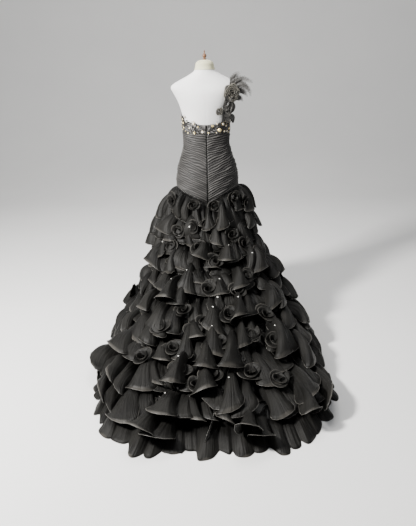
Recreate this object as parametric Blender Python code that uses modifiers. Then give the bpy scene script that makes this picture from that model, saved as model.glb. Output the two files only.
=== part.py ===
"""One-shoulder prom dress with a ruffled skirt and a chapel train, worn by a limbless dress form.

Metres, +Z up. The origin is the centre of the underside of the form's foot, on the floor.
The dress faces -Y, its train runs out along +Y, and the wearer's right shoulder, with the strap, is at -X.
A turn is the angle round the body: 0 at the centre back, a quarter turn at the wearer's left (+X).
"""

import math
from collections import namedtuple

import bmesh
import bpy
import numpy as np
from mathutils import Matrix, Vector
from mathutils.bvhtree import BVHTree

TAU = 2 * math.pi
MM = 0.001

# Driving dimensions of the form
FOOT_RADIUS = 0.150
FOOT_THICKNESS = 0.022
POLE_RADIUS = 0.016
NECK_TOP = 1.500
CAP_RADIUS = 0.050
CAP_HEIGHT = 0.029
FINIAL_HEIGHT = 0.050
TORSO_COLUMNS = 24
TORSO_ROWS_PER_SECTION = 1

# Driving dimensions of the dress
SEAM_GAP = 0.3 * MM
BODICE_CLEARANCE = 1.6 * MM
BODICE_WALL = 1.8 * MM
PLEAT_DEPTH = 2.4 * MM
PLEATS = 24
BODICE_COLUMNS = 24
LINING_ROWS = PLEATS // 2
BAND_WALL = 2.2 * MM
BAND_COLUMNS = 40
STONE_HEIGHT = 4.0 * MM
STONE_INSET = 3.2 * MM
ZIP_WIDTH = 6.0 * MM
ZIP_WALL = 1.4 * MM
ZIP_RIDGE = 1.0 * MM
STRAP_WALL = 1.6 * MM
SKIRT_WALL = 1.6 * MM
SKIRT_COLUMNS = 24
RUFFLE_WALL = 1.2 * MM
RUFFLE_SEAM_GAP = 0.5 * MM
COLUMNS_PER_WAVE = 6

# Sections of the form, bottom to top: height, half width, reach to the front and to the back
TorsoSection = namedtuple("TorsoSection", "height half_width front back")
TORSO = [
    TorsoSection(0.735, 0.158, 0.103, 0.110),
    TorsoSection(0.765, 0.170, 0.109, 0.121),
    TorsoSection(0.805, 0.175, 0.112, 0.127),
    TorsoSection(0.850, 0.177, 0.113, 0.129),
    TorsoSection(0.895, 0.174, 0.113, 0.124),
    TorsoSection(0.940, 0.166, 0.110, 0.113),
    TorsoSection(0.985, 0.151, 0.106, 0.098),
    TorsoSection(1.030, 0.136, 0.101, 0.086),
    TorsoSection(1.080, 0.127, 0.098, 0.080),
    TorsoSection(1.125, 0.128, 0.101, 0.083),
    TorsoSection(1.170, 0.131, 0.110, 0.089),
    TorsoSection(1.215, 0.132, 0.124, 0.096),
    TorsoSection(1.260, 0.140, 0.127, 0.102),
    TorsoSection(1.310, 0.157, 0.112, 0.107),
    TorsoSection(1.352, 0.178, 0.086, 0.104),
    TorsoSection(1.382, 0.193, 0.064, 0.092),
    TorsoSection(1.402, 0.183, 0.053, 0.081),
    TorsoSection(1.428, 0.136, 0.046, 0.070),
    TorsoSection(1.452, 0.089, 0.043, 0.061),
    TorsoSection(1.472, 0.060, 0.045, 0.054),
    TorsoSection(1.500, 0.050, 0.049, 0.050),
]

# Heights of the jewelled band round the body, from the centre back to the centre front
NecklinePoint = namedtuple("NecklinePoint", "degrees band_foot band_top")
NECKLINE = [
    NecklinePoint(0, 1.136, 1.186),
    NecklinePoint(45, 1.142, 1.194),
    NecklinePoint(90, 1.160, 1.222),
    NecklinePoint(125, 1.188, 1.270),
    NecklinePoint(150, 1.200, 1.290),
    NecklinePoint(180, 1.190, 1.262),
]

# Rings of the skirt, waist seam to hem, then a last ring that only guides the ruffle on the floor
SkirtRing = namedtuple("SkirtRing", "z_front z_side z_back half_width y_front y_wide y_back vee corner")
SKIRT = [
    SkirtRing(0.758, 0.828, 0.746, 0.180, -0.116, 0.000, 0.128, 1.0, 0.00),
    SkirtRing(0.690, 0.748, 0.665, 0.199, -0.137, 0.000, 0.155, 0.6, 0.00),
    SkirtRing(0.602, 0.650, 0.574, 0.223, -0.162, 0.008, 0.200, 0.2, 0.00),
    SkirtRing(0.514, 0.553, 0.484, 0.249, -0.187, 0.020, 0.260, 0.0, 0.00),
    SkirtRing(0.426, 0.457, 0.395, 0.279, -0.212, 0.042, 0.342, 0.0, 0.01),
    SkirtRing(0.339, 0.363, 0.308, 0.315, -0.238, 0.076, 0.450, 0.0, 0.02),
    SkirtRing(0.254, 0.271, 0.227, 0.360, -0.265, 0.128, 0.588, 0.0, 0.04),
    SkirtRing(0.173, 0.184, 0.154, 0.412, -0.292, 0.206, 0.756, 0.0, 0.07),
    SkirtRing(0.102, 0.108, 0.092, 0.464, -0.317, 0.312, 0.944, 0.0, 0.10),
    SkirtRing(0.045, 0.047, 0.041, 0.512, -0.340, 0.436, 1.146, 0.0, 0.13),
    SkirtRing(0.002, 0.002, 0.002, 0.552, -0.360, 0.560, 1.350, 0.0, 0.15),
    SkirtRing(0.002, 0.002, 0.002, 0.618, -0.440, 0.620, 1.470, 0.0, 0.15),
]

# Tiers of ruffle: seam place in skirt rings, waves round it, how far a wave stands up, how flat it lies
RuffleTier = namedtuple("RuffleTier", "seam waves stand flat wander")
RUFFLES = [
    RuffleTier(0.08, 7, 86, -4, 0.00),
    RuffleTier(0.96, 7, 88, -4, 0.08),
    RuffleTier(1.82, 7, 92, -4, 0.11),
    RuffleTier(2.66, 8, 96, -4, 0.12),
    RuffleTier(3.47, 8, 98, -4, 0.12),
    RuffleTier(4.25, 8, 96, -4, 0.12),
    RuffleTier(5.00, 9, 90, -4, 0.11),
    RuffleTier(5.73, 9, 84, -4, 0.10),
    RuffleTier(6.45, 10, 78, -4, 0.09),
    RuffleTier(7.16, 10, 72, -6, 0.08),
    RuffleTier(7.88, 11, 66, -8, 0.07),
    RuffleTier(8.61, 11, 60, -10, 0.04),
    RuffleTier(9.36, 11, 42, -50, 0.00),
]
LAST_SEAM = 10.14
RUFFLE_OVERLAP = 1.54
RUFFLE_SPRING = 25
RUFFLE_CURL = 2.4
RUFFLE_GATHER = 0.6

# The strap: signed root of its fall below the shoulder's crest, back to front, and its two edges
StrapSection = namedtuple("StrapSection", "fall x_inner x_outer")
STRAP = [
    StrapSection(0.45, -0.086, -0.121),
    StrapSection(0.30, -0.116, -0.152),
    StrapSection(0.15, -0.136, -0.174),
    StrapSection(0.00, -0.141, -0.179),
    StrapSection(-0.15, -0.137, -0.175),
    StrapSection(-0.29, -0.117, -0.154),
    StrapSection(-0.365, -0.095, -0.129),
]
STRAP_ROWS_PER_SECTION = 3
STRAP_CLEARANCE = 4.3 * MM

# Rolled rosettes on the strap: place, size, turns of the roll, and how far off the cloth they sit
Rosette = namedtuple("Rosette", "name x z radius depth turns lift")
ROSETTES = [
    Rosette("rosette_large", -0.139, 1.358, 0.049, 0.034, 3, 1.8 * MM),
    Rosette("rosette_medium", -0.122, 1.268, 0.034, 0.026, 2, 0.7 * MM),
    Rosette("rosette_small", -0.072, 1.256, 0.024, 0.016, 1.5, 0.6 * MM),
]


# Materials

def material(name, colour, roughness, metallic=0.0):
    made = bpy.data.materials.new(name)
    made.use_nodes = True
    shader = made.node_tree.nodes["Principled BSDF"]
    shader.inputs["Base Color"].default_value = (*colour, 1)
    shader.inputs["Roughness"].default_value = roughness
    shader.inputs["Metallic"].default_value = metallic
    made.diffuse_color = (*colour, 1)
    return made


# Smooth curves through the tables

def through(values, at):
    """A smooth curve through evenly numbered values, read at a fractional place."""
    values = np.asarray(values, float)
    last = len(values) - 1
    step = int(min(max(math.floor(at), 0), last - 1))
    share = min(max(at - step, 0.0), 1.0)
    before = values[max(step - 1, 0)]
    start = values[step]
    end = values[step + 1]
    after = values[min(step + 2, last)]
    return 0.5 * (
        2 * start
        + (end - before) * share
        + (2 * before - 5 * start + 4 * end - after) * share**2
        + (3 * start - before - 3 * end + after) * share**3
    )


def oval(turn, half_width, y_front, y_wide, y_back):
    """A point on an oval that reaches further to the back than to the front."""
    reach = y_back - y_wide if math.cos(turn) > 0 else y_wide - y_front
    return half_width * math.sin(turn), y_wide + reach * math.cos(turn)


# The form's surface

TORSO_HEIGHTS = [through([section.height for section in TORSO], at / 8) for at in range(8 * len(TORSO) - 7)]


def torso_point(turn, height):
    at = float(np.interp(height, TORSO_HEIGHTS, np.arange(len(TORSO_HEIGHTS)) / 8))
    section = through(TORSO, at)
    x, y = oval(turn, section[1], -section[2], 0, section[3])
    return Vector((x, y, height))


def torso_normal(turn, height):
    step = 0.004
    across = torso_point(turn + 0.02, height) - torso_point(turn - 0.02, height)
    along = torso_point(turn, height + step) - torso_point(turn, height - step)
    return across.cross(along).normalized() * -1


def off_torso(turn, height, distance):
    return torso_point(turn, height) + torso_normal(turn, height) * distance


def neckline(turn):
    """(foot, top) of the jewelled band at a turn, the same on both sides."""
    degrees = abs(math.degrees(math.remainder(turn, TAU)))
    known = [point.degrees for point in NECKLINE]
    at = float(np.interp(degrees, known, np.arange(len(known))))
    return through(NECKLINE, at)[1:]


# The skirt's surface, as the flat facets that the panels are built from

def skirt_ring_point(ring, turn):
    """A point of a ring; the train's corners swell out, so that its end is broad."""
    side = abs(math.sin(turn))
    towards_centre = ring.vee * (1 - side) + (1 - ring.vee) * math.cos(turn) ** 2
    centre_z = ring.z_back if math.cos(turn) > 0 else ring.z_front
    x, y = oval(turn, ring.half_width, ring.y_front, ring.y_wide, ring.y_back)
    swell = ring.corner * math.sin(2 * turn) ** 2 if math.cos(turn) > 0 else 0.0
    x += x * swell
    y += (y - ring.y_wide) * swell
    return x, y, ring.z_side + (centre_z - ring.z_side) * towards_centre


def waist_seam(turn):
    """Height of the dropped V waist, where the skirt's first ring lies."""
    return skirt_ring_point(SKIRT[0], turn)[2]


def skirt_grid():
    """Points of the skirt's outside; its first ring meets the foot of the bodice."""
    turns = [TAU * column / SKIRT_COLUMNS for column in range(SKIRT_COLUMNS)]
    grid = np.array([[skirt_ring_point(ring, turn) for turn in turns] for ring in SKIRT])
    out = BODICE_CLEARANCE + SKIRT_WALL + 0.6 * MM
    grid[0] = [off_torso(turn, waist_seam(turn), out) for turn in turns]
    return grid


def grid_normals(grid):
    """Outward normals of a grid that closes round its columns."""
    across = np.roll(grid, -1, axis=1) - np.roll(grid, 1, axis=1)
    down = np.gradient(grid, axis=0)
    normal = np.cross(across, down)
    return normal / np.linalg.norm(normal, axis=2, keepdims=True)


SKIRT_GRID = skirt_grid()
SKIRT_NORMALS = grid_normals(SKIRT_GRID)


def cell_of(ring, turn):
    row = int(min(max(math.floor(ring), 0), len(SKIRT) - 2))
    place = turn / TAU * SKIRT_COLUMNS
    column = math.floor(place)
    return row, column % SKIRT_COLUMNS, (column + 1) % SKIRT_COLUMNS, ring - row, place - column


def on_skirt(ring, turn):
    """A point on or just outside the skirt's facets, ring 0 at the waist, and the smoothed normal."""
    row, left, right, down, across = cell_of(ring, turn)
    a, b = SKIRT_GRID[row, left], SKIRT_GRID[row, right]
    c, d = SKIRT_GRID[row + 1, left], SKIRT_GRID[row + 1, right]
    point = (a * (1 - across) + b * across) * (1 - down) + (c * (1 - across) + d * across) * down
    normal = (
        SKIRT_NORMALS[row, left] * (1 - down) * (1 - across)
        + SKIRT_NORMALS[row, right] * (1 - down) * across
        + SKIRT_NORMALS[row + 1, left] * down * (1 - across)
        + SKIRT_NORMALS[row + 1, right] * down * across
    )
    return point, normal / np.linalg.norm(normal)


# Meshes

def add_object(name, mesh, finish):
    made = bpy.data.objects.new(name, mesh)
    made.data.materials.append(finish)
    parts.objects.link(made)
    return made


def mesh_from(build, name):
    mesh = bpy.data.meshes.new(name)
    build.to_mesh(mesh)
    build.free()
    return mesh


def add_cell(build, a, b, c, d):
    """Two triangles over a cell a-b above c-d, folded inwards along the diagonal that lies deeper."""
    outward = (a.co - d.co).cross(b.co - c.co)
    if (b.co + c.co - a.co - d.co).dot(outward) > 0:
        build.faces.new((a, b, d))
        build.faces.new((a, d, c))
    else:
        build.faces.new((a, b, c))
        build.faces.new((d, c, b))


def open_sheet(name, rows, closed, finish, thickness, offset):
    """A sheet lofted through rows of points and given its thickness by Solidify."""
    build = bmesh.new()
    grid = [[build.verts.new(point) for point in row] for row in rows]
    count = len(grid[0])
    for upper, lower in zip(grid, grid[1:]):
        for column in range(count if closed else count - 1):
            right = (column + 1) % count
            add_cell(build, upper[column], upper[right], lower[column], lower[right])
    made = add_object(name, mesh_from(build, name), finish)
    wall = made.modifiers.new("wall", "SOLIDIFY")
    wall.thickness = thickness
    wall.offset = offset
    made.data.shade_smooth()
    return made


def loft_sections(name, sections, finish):
    """A solid through closed sections with the same number of points, its two ends filled."""
    build = bmesh.new()
    loops = [[build.verts.new(point) for point in section] for section in sections]
    count = len(loops[0])
    for here, there in zip(loops, loops[1:]):
        for side in range(count):
            after = (side + 1) % count
            build.faces.new((here[side], here[after], there[after], there[side]))
    build.faces.new(reversed(loops[0]))
    build.faces.new(loops[-1])
    bmesh.ops.triangulate(build, faces=build.faces, ngon_method="EAR_CLIP")
    bmesh.ops.recalc_face_normals(build, faces=build.faces)
    made = add_object(name, mesh_from(build, name), finish)
    made.data.shade_smooth()
    return made


def close_end(build, outer, inner):
    """Close the end of a wall: each inner point takes the outer edges up to halfway to the next."""
    outer_steps = len(outer) - 1
    inner_steps = len(inner) - 1
    i = 0
    for j in range(inner_steps + 1):
        until = min(round((j + 0.5) * outer_steps / inner_steps), outer_steps)
        while i < until:
            build.faces.new((outer[i], outer[i + 1], inner[j]))
            i += 1
        if j < inner_steps:
            build.faces.new((outer[i], inner[j + 1], inner[j]))


def loft_wall(columns):
    """A wall through columns of (outside, inside) points, top to foot, and the cells of its outside."""
    build = bmesh.new()
    outer = [[build.verts.new(point) for point in outside] for outside, _ in columns]
    inner = [[build.verts.new(point) for point in inside] for _, inside in columns]
    skin = []
    for number in range(len(columns) - 1):
        for chains, kept in ((outer, skin), (inner, None)):
            here, there = chains[number], chains[number + 1]
            for row in range(len(here) - 1):
                face = build.faces.new((here[row], here[row + 1], there[row + 1], there[row]))
                if kept is not None:
                    kept.append((number, row, face))
        for end in (0, -1):
            build.faces.new((
                outer[number][end], outer[number + 1][end], inner[number + 1][end], inner[number][end],
            ))
    close_end(build, outer[0], inner[0])
    close_end(build, outer[-1], inner[-1])
    bmesh.ops.recalc_face_normals(build, faces=build.faces)
    return build, skin


def finish_wall(name, build, finish):
    bmesh.ops.triangulate(build, faces=build.faces)
    made = add_object(name, mesh_from(build, name), finish)
    made.data.shade_smooth()
    return made


def turned(name, profile, segments, finish):
    """A solid of revolution about Z: the profile is (radius, height) from its top to its bottom."""
    mesh = bpy.data.meshes.new(name)
    points = [(radius, 0, height) for radius, height in profile]
    mesh.from_pydata(points, [(i, i + 1) for i in range(len(points) - 1)], [])
    made = add_object(name, mesh, finish)
    screw = made.modifiers.new("turn", "SCREW")
    screw.steps = segments
    screw.render_steps = segments
    screw.use_merge_vertices = True
    screw.merge_threshold = 0.0001
    return made


# The form

def build_torso():
    rows = []
    for number in range((len(TORSO) - 1) * TORSO_ROWS_PER_SECTION + 1):
        section = through(TORSO, number / TORSO_ROWS_PER_SECTION)
        rows.append([
            torso_point(TAU * column / TORSO_COLUMNS, section[0])
            for column in range(TORSO_COLUMNS)
        ])
    return loft_sections("form_torso", rows, jersey)


def build_neck_and_stand():
    gap = SEAM_GAP
    cap_foot = NECK_TOP + gap
    cap = [(0, cap_foot + CAP_HEIGHT)]
    for step in range(1, 5):
        angle = math.radians(22.5 * step)
        cap.append((
            CAP_RADIUS * math.sin(angle) ** 0.8,
            cap_foot + CAP_HEIGHT * (0.35 + 0.65 * math.cos(angle) ** 0.8),
        ))
    cap += [(CAP_RADIUS, cap_foot), (0, cap_foot)]
    turned("form_neck_cap", cap, 20, cap_cloth)
    finial_foot = cap_foot + CAP_HEIGHT + gap
    finial = [
        (0, 1.00), (0.0022, 0.97), (0.0040, 0.86), (0.0034, 0.74), (0.0050, 0.62), (0.0100, 0.50),
        (0.0115, 0.38), (0.0085, 0.24), (0.0060, 0.16), (0.0110, 0.06), (0.0110, 0), (0, 0),
    ]
    turned("form_finial", [(r, finial_foot + h * FINIAL_HEIGHT) for r, h in finial], 12, wood)
    edge = 0.004
    foot = [
        (0, FOOT_THICKNESS), (FOOT_RADIUS - edge, FOOT_THICKNESS),
        (FOOT_RADIUS, FOOT_THICKNESS - edge), (FOOT_RADIUS, 0), (0, 0),
    ]
    turned("stand_foot", foot, 32, steel)
    pole_foot = FOOT_THICKNESS + gap
    pole_top = TORSO[0].height - gap
    pole = [(0, pole_top), (POLE_RADIUS, pole_top), (POLE_RADIUS, pole_foot), (0, pole_foot)]
    turned("stand_pole", pole, 20, steel)


# The ruched bodice: pleats raised in the outer points, over a plain inside

def turns_between(start, end, columns):
    """Evenly spaced turns from one seam to the next, in radians."""
    return [start + (end - start) * column / columns for column in range(columns + 1)]


def seam_turn(turn, distance, height):
    """The turn that lies a small distance round the form from another."""
    step = 0.01
    pace = (torso_point(turn + step, height) - torso_point(turn - step, height)).length / (2 * step)
    return turn + distance / pace


def pleat_relief(row, turn):
    """How far a row of the ruching stands out: ridges and valleys take turns, and fade in and out."""
    if row in (0, 2 * PLEATS):
        return 0.2 * PLEAT_DEPTH
    fade = 0.78 + 0.22 * math.sin(5 * turn + 1.9 * row)
    return PLEAT_DEPTH * fade if row % 2 else 0.0


def bodice_section(turn, seam_shift=0.0):
    """(outside, inside) points of the bodice wall at one turn."""
    top = neckline(turn)[0] - 2 * SEAM_GAP
    foot = waist_seam(seam_turn(turn, seam_shift, TORSO[0].height)) + 2 * SEAM_GAP
    outside = []
    for row in range(2 * PLEATS + 1):
        height = top + (foot - top) * row / (2 * PLEATS)
        here = seam_turn(turn, seam_shift, height)
        outside.append(off_torso(here, height, BODICE_CLEARANCE + BODICE_WALL + pleat_relief(row, turn)))
    inside = []
    for row in range(LINING_ROWS + 1):
        height = top + (foot - top) * row / LINING_ROWS
        inside.append(off_torso(seam_turn(turn, seam_shift, height), height, BODICE_CLEARANCE))
    return outside, inside


def panel_sections(section, start, end, columns, start_gap, end_gap):
    """Sections from one seam to the next, the first and last moved in by their seam gaps."""
    turns = turns_between(start, end, columns)
    shifts = [start_gap] + [0.0] * (columns - 1) + [-end_gap]
    return [section(turn, shift) for turn, shift in zip(turns, shifts)]


def build_bodice():
    side = math.pi / 2
    half_seam = SEAM_GAP / 2
    beside_zip = ZIP_WIDTH / 2 + SEAM_GAP
    quarter = BODICE_COLUMNS // 4
    panels = {
        "bodice_back_left": (0, side, quarter, beside_zip, half_seam),
        "bodice_front": (side, 3 * side, 2 * quarter, half_seam, half_seam),
        "bodice_back_right": (3 * side, 4 * side, quarter, half_seam, beside_zip),
    }
    for name, (start, end, columns, start_gap, end_gap) in panels.items():
        sections = panel_sections(bodice_section, start, end, columns, start_gap, end_gap)
        build, _ = loft_wall(sections)
        finish_wall(name, build, chiffon)


# The jewelled band

BAND_ROWS = 3


def band_section(turn, seam_shift=0.0):
    foot, top = neckline(turn)
    outside = []
    for row in range(BAND_ROWS + 1):
        height = top + (foot - top) * row / BAND_ROWS
        bulge = 0.8 * MM * math.sin(math.pi * row / BAND_ROWS)
        here = seam_turn(turn, seam_shift, height)
        outside.append(off_torso(here, height, BODICE_CLEARANCE + BAND_WALL + bulge))
    inside = [
        off_torso(seam_turn(turn, seam_shift, height), height, BODICE_CLEARANCE)
        for height in (top + (foot - top) * step / 4 for step in range(5))
    ]
    return outside, inside


def raise_stone(build, face):
    """A cut stone raised from a cell of the band's outside."""
    normal = face.normal.copy()
    bmesh.ops.inset_individual(build, faces=[face], thickness=STONE_INSET)
    top = bmesh.ops.extrude_discrete_faces(build, faces=[face])["faces"][0]
    centre = top.calc_center_median()
    for vert in top.verts:
        vert.co = centre + (vert.co - centre) * 0.55 + normal * STONE_HEIGHT


def build_band():
    side = math.pi / 2
    half_seam = SEAM_GAP / 2
    beside_zip = ZIP_WIDTH / 2 + SEAM_GAP
    quarter = BAND_COLUMNS // 4
    panels = {
        "band_back_left": (0, side, quarter, beside_zip, half_seam),
        "band_front": (side, 3 * side, 2 * quarter, half_seam, half_seam),
        "band_back_right": (3 * side, 4 * side, quarter, half_seam, beside_zip),
    }
    for name, (start, end, columns, start_gap, end_gap) in panels.items():
        sections = panel_sections(band_section, start, end, columns, start_gap, end_gap)
        build, cells = loft_wall(sections)
        for column, row, face in cells:
            if 1 < column < columns - 1 and (column + 2 * row) % 4 == 1:
                raise_stone(build, face)
        finish_wall(name, build, jewelled)


# The zip

def zip_section(height):
    """The closed outline across the zip tape at one height."""
    half = ZIP_WIDTH / 2
    ridge = 0.8 * MM
    outer = BODICE_CLEARANCE + ZIP_WALL
    across = [
        (-half, outer), (-ridge, outer), (-ridge * 0.6, outer + ZIP_RIDGE),
        (ridge * 0.6, outer + ZIP_RIDGE), (ridge, outer), (half, outer),
        (half, BODICE_CLEARANCE), (-half, BODICE_CLEARANCE),
    ]
    return [off_torso(seam_turn(0, x, height), height, distance) for x, distance in across]


SLIDER_HEIGHT = 12 * MM
SLIDER_WIDTH = 7 * MM
SLIDER_DEPTH = 3.2 * MM
BAIL_REACH = 4 * MM
BAIL_WIDTH = 1.4 * MM
BAIL_BAR = 1.2 * MM
PULL_CLEARANCE = 0.45 * MM
PULL_THICKNESS = 1.0 * MM
PULL_LENGTH = 24 * MM
PULL_BAR = 1.2 * MM
PULL_WINDOW = 6.0 * MM


def slider_place():
    """The middle of the slider's front face, which stands upright a little below the top of the zip."""
    middle = neckline(0)[1] - 0.014
    top = middle + SLIDER_HEIGHT / 2
    out = BODICE_CLEARANCE + ZIP_WALL + ZIP_RIDGE + SEAM_GAP
    return Vector((0, off_torso(0, top, out).y + SLIDER_DEPTH, middle))


def pull_axis():
    """The centre of the pull's top bar, which the bail holds: the pull turns about X here."""
    return slider_place() + Vector((0, PULL_CLEARANCE + PULL_THICKNESS / 2, 0))


def box(low, high):
    build = bmesh.new()
    centre = (Vector(low) + Vector(high)) / 2
    size = Vector(high) - Vector(low)
    bmesh.ops.create_cube(build, size=1, matrix=Matrix.Translation(centre) @ Matrix.Diagonal((*size, 1)))
    return build


def build_zip():
    foot = waist_seam(seam_turn(0, ZIP_WIDTH / 2, TORSO[0].height)) + 2 * SEAM_GAP
    top = neckline(0)[1]
    rows = 20
    sections = [zip_section(foot + (top - foot) * row / rows) for row in range(rows + 1)]
    loft_sections("zip_tape", sections, zip_black)

    face = slider_place()
    body = box(
        (-SLIDER_WIDTH / 2, face.y - SLIDER_DEPTH, face.z - SLIDER_HEIGHT / 2),
        (SLIDER_WIDTH / 2, face.y, face.z + SLIDER_HEIGHT / 2),
    )
    slider = add_object("zip_slider", mesh_from(body, "zip_slider"), black_metal)
    under = PULL_THICKNESS + 2 * PULL_CLEARANCE
    sunk = 1.0 * MM
    profile = [
        (-BAIL_REACH, -sunk), (-BAIL_REACH, under + BAIL_BAR), (BAIL_REACH, under + BAIL_BAR),
        (BAIL_REACH, -sunk), (BAIL_REACH - BAIL_BAR, -sunk), (BAIL_REACH - BAIL_BAR, under),
        (BAIL_BAR - BAIL_REACH, under), (BAIL_BAR - BAIL_REACH, -sunk),
    ]
    arch = bmesh.new()
    outline = arch.faces.new([
        arch.verts.new((-BAIL_WIDTH / 2, face.y + out, face.z + up)) for up, out in profile
    ])
    moved = bmesh.ops.extrude_face_region(arch, geom=[outline])["geom"]
    shift = Vector((BAIL_WIDTH, 0, 0))
    bmesh.ops.translate(arch, vec=shift, verts=[v for v in moved if isinstance(v, bmesh.types.BMVert)])
    bmesh.ops.recalc_face_normals(arch, faces=arch.faces)
    bail = bpy.data.objects.new("bail", mesh_from(arch, "bail"))
    cutters.objects.link(bail)
    bail.hide_render = True
    bail.display_type = "WIRE"
    join = slider.modifiers.new("bail", "BOOLEAN")
    join.operation = "UNION"
    join.object = bail

    build_pull()


def build_pull():
    """A drop-shaped pull with a window at its top, through which the slider's bail passes."""
    top = PULL_BAR / 2
    half_top = 2.6 * MM
    half_low = 3.3 * MM
    outline = [(half_top, top), (half_top, -PULL_WINDOW - 2 * MM)]
    for step in range(9):
        angle = math.pi * step / 8
        drop = PULL_LENGTH - top - half_low + half_low * math.sin(angle)
        outline.append((half_low * math.cos(angle), -drop))
    outline += [(-half_top, -PULL_WINDOW - 2 * MM), (-half_top, top)]
    window_side = BAIL_WIDTH / 2 + 0.8 * MM
    window = [
        (window_side, -top), (-window_side, -top),
        (-window_side, -top - PULL_WINDOW), (window_side, -top - PULL_WINDOW),
    ]
    curve = bpy.data.curves.new("zip_pull", "CURVE")
    curve.dimensions = "2D"
    curve.fill_mode = "BOTH"
    curve.extrude = PULL_THICKNESS / 2
    for loop in (outline, window):
        spline = curve.splines.new("POLY")
        spline.points.add(len(loop) - 1)
        for point, (x, y) in zip(spline.points, loop):
            point.co = (x, y, 0, 1)
        spline.use_cyclic_u = True
    drawn = bpy.data.objects.new("zip_pull_outline", curve)
    parts.objects.link(drawn)
    mesh = bpy.data.meshes.new_from_object(drawn.evaluated_get(bpy.context.evaluated_depsgraph_get()))
    bpy.data.objects.remove(drawn)
    build = bmesh.new()
    build.from_mesh(mesh)
    bmesh.ops.remove_doubles(build, verts=build.verts, dist=1e-5)
    bmesh.ops.recalc_face_normals(build, faces=build.faces)
    build.to_mesh(mesh)
    build.free()
    mesh.name = "zip_pull"
    mesh.materials.clear()
    pull = add_object("zip_pull", mesh, black_metal)
    pull.rotation_euler = (math.radians(90), 0, 0)
    pull.location = pull_axis()
    return pull


# The shoulder strap and what is sewn on it

def crest_height(x):
    """Height of the shoulder's slope at a distance from the middle."""
    low, high = 1.382, NECK_TOP
    for _ in range(30):
        middle = (low + high) / 2
        if torso_point(math.pi / 2, middle).x > abs(x):
            low = middle
        else:
            high = middle
    return low


def strap_point(place, share, distance):
    """A point off the strap's path, at a place along its table and a share of the way across it."""
    fall, x_inner, x_outer = through(STRAP, place)
    x = x_inner + (x_outer - x_inner) * share
    height = crest_height(x) - fall**2
    for _ in range(4):
        turn = -math.asin(min(abs(x) / torso_point(math.pi / 2, height).x, 1.0))
        turn = turn if fall > 0 else -math.pi - turn
        if place in (0, len(STRAP) - 1):
            height = neckline(turn)[1] + 4 * SEAM_GAP
    return off_torso(turn, height, distance)


def strap_rows():
    """Rows of three points along the strap; its two ends follow the top of the band."""
    count = STRAP_ROWS_PER_SECTION * (len(STRAP) - 1) + 1
    places = [number / STRAP_ROWS_PER_SECTION for number in range(count)]
    outer = STRAP_CLEARANCE + STRAP_WALL
    return [[strap_point(place, share, outer) for share in (0.0, 0.5, 1.0)] for place in places]


def build_strap():
    return open_sheet("shoulder_strap", strap_rows(), False, organza, STRAP_WALL, -1)


def seats(*made):
    """A tree that rays can find the outside of these objects with."""
    points, faces = [], []
    graph = bpy.context.evaluated_depsgraph_get()
    for each in made:
        mesh = each.evaluated_get(graph).to_mesh()
        start = len(points)
        points += [vert.co.copy() for vert in mesh.vertices]
        faces += [tuple(start + i for i in face.vertices) for face in mesh.polygons]
    return BVHTree.FromPolygons(points, faces)


def rosette_frame(rosette):
    """The rosette's centre on the form, and its facing, outward from the back of the shoulder."""
    turn = -math.asin(min(-rosette.x / through_half_width(rosette.z), 1.0))
    centre = torso_point(turn, rosette.z)
    facing = (torso_normal(turn, rosette.z) + Vector((0, 0.6, 0))).normalized()
    return centre, facing


def through_half_width(height):
    return torso_point(math.pi / 2, height).x


def build_rosette(rosette, surface):
    """A strip rolled into a spiral, flaring and waving towards its outer edge."""
    centre, facing = rosette_frame(rosette)
    across = facing.cross(Vector((0, 0, 1))).normalized()
    up = across.cross(facing)
    steps = round(10 * rosette.turns)
    spokes, roots, seated = [], [], []
    for step in range(steps + 1):
        share = step / steps
        angle = TAU * rosette.turns * share
        radius = 3.5 * MM + (rosette.radius - 3.5 * MM) * share
        spoke = across * math.cos(angle) + up * math.sin(angle)
        root = centre + spoke * radius * 0.46
        hit = surface.ray_cast(root + facing * 0.15, -facing)[0]
        spokes.append((share, radius, angle, spoke))
        roots.append(root)
        seated.append((hit - centre).dot(facing) if hit else seated[-1])
    rows = [[], [], []]
    for step, (share, radius, angle, spoke) in enumerate(spokes):
        lift = max(seated[max(step - 1, 0):step + 2]) + rosette.lift
        start = roots[step] + facing * (lift - (roots[step] - centre).dot(facing))
        depth = rosette.depth * (1.0 - 0.45 * share)
        wave = 1 + 0.10 * share * math.sin(2.5 * angle)
        rows[2].append(start)
        rows[1].append(start + facing * depth * 0.60 + spoke * radius * 0.20)
        rows[0].append(start + facing * depth * wave + spoke * radius * 0.54)
    return open_sheet(rosette.name, rows, False, organza, 1.0 * MM, 0)


FROND_COLUMNS = 14
FROND_ROWS = 1
FROND_SEGMENTS = 4
FROND_SEAT = STRAP_CLEARANCE + STRAP_WALL + 0.7 * MM
FROND_PLACES = (0.75, 2.15)
FROND_SHARES = (0.84, 0.99)


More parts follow.
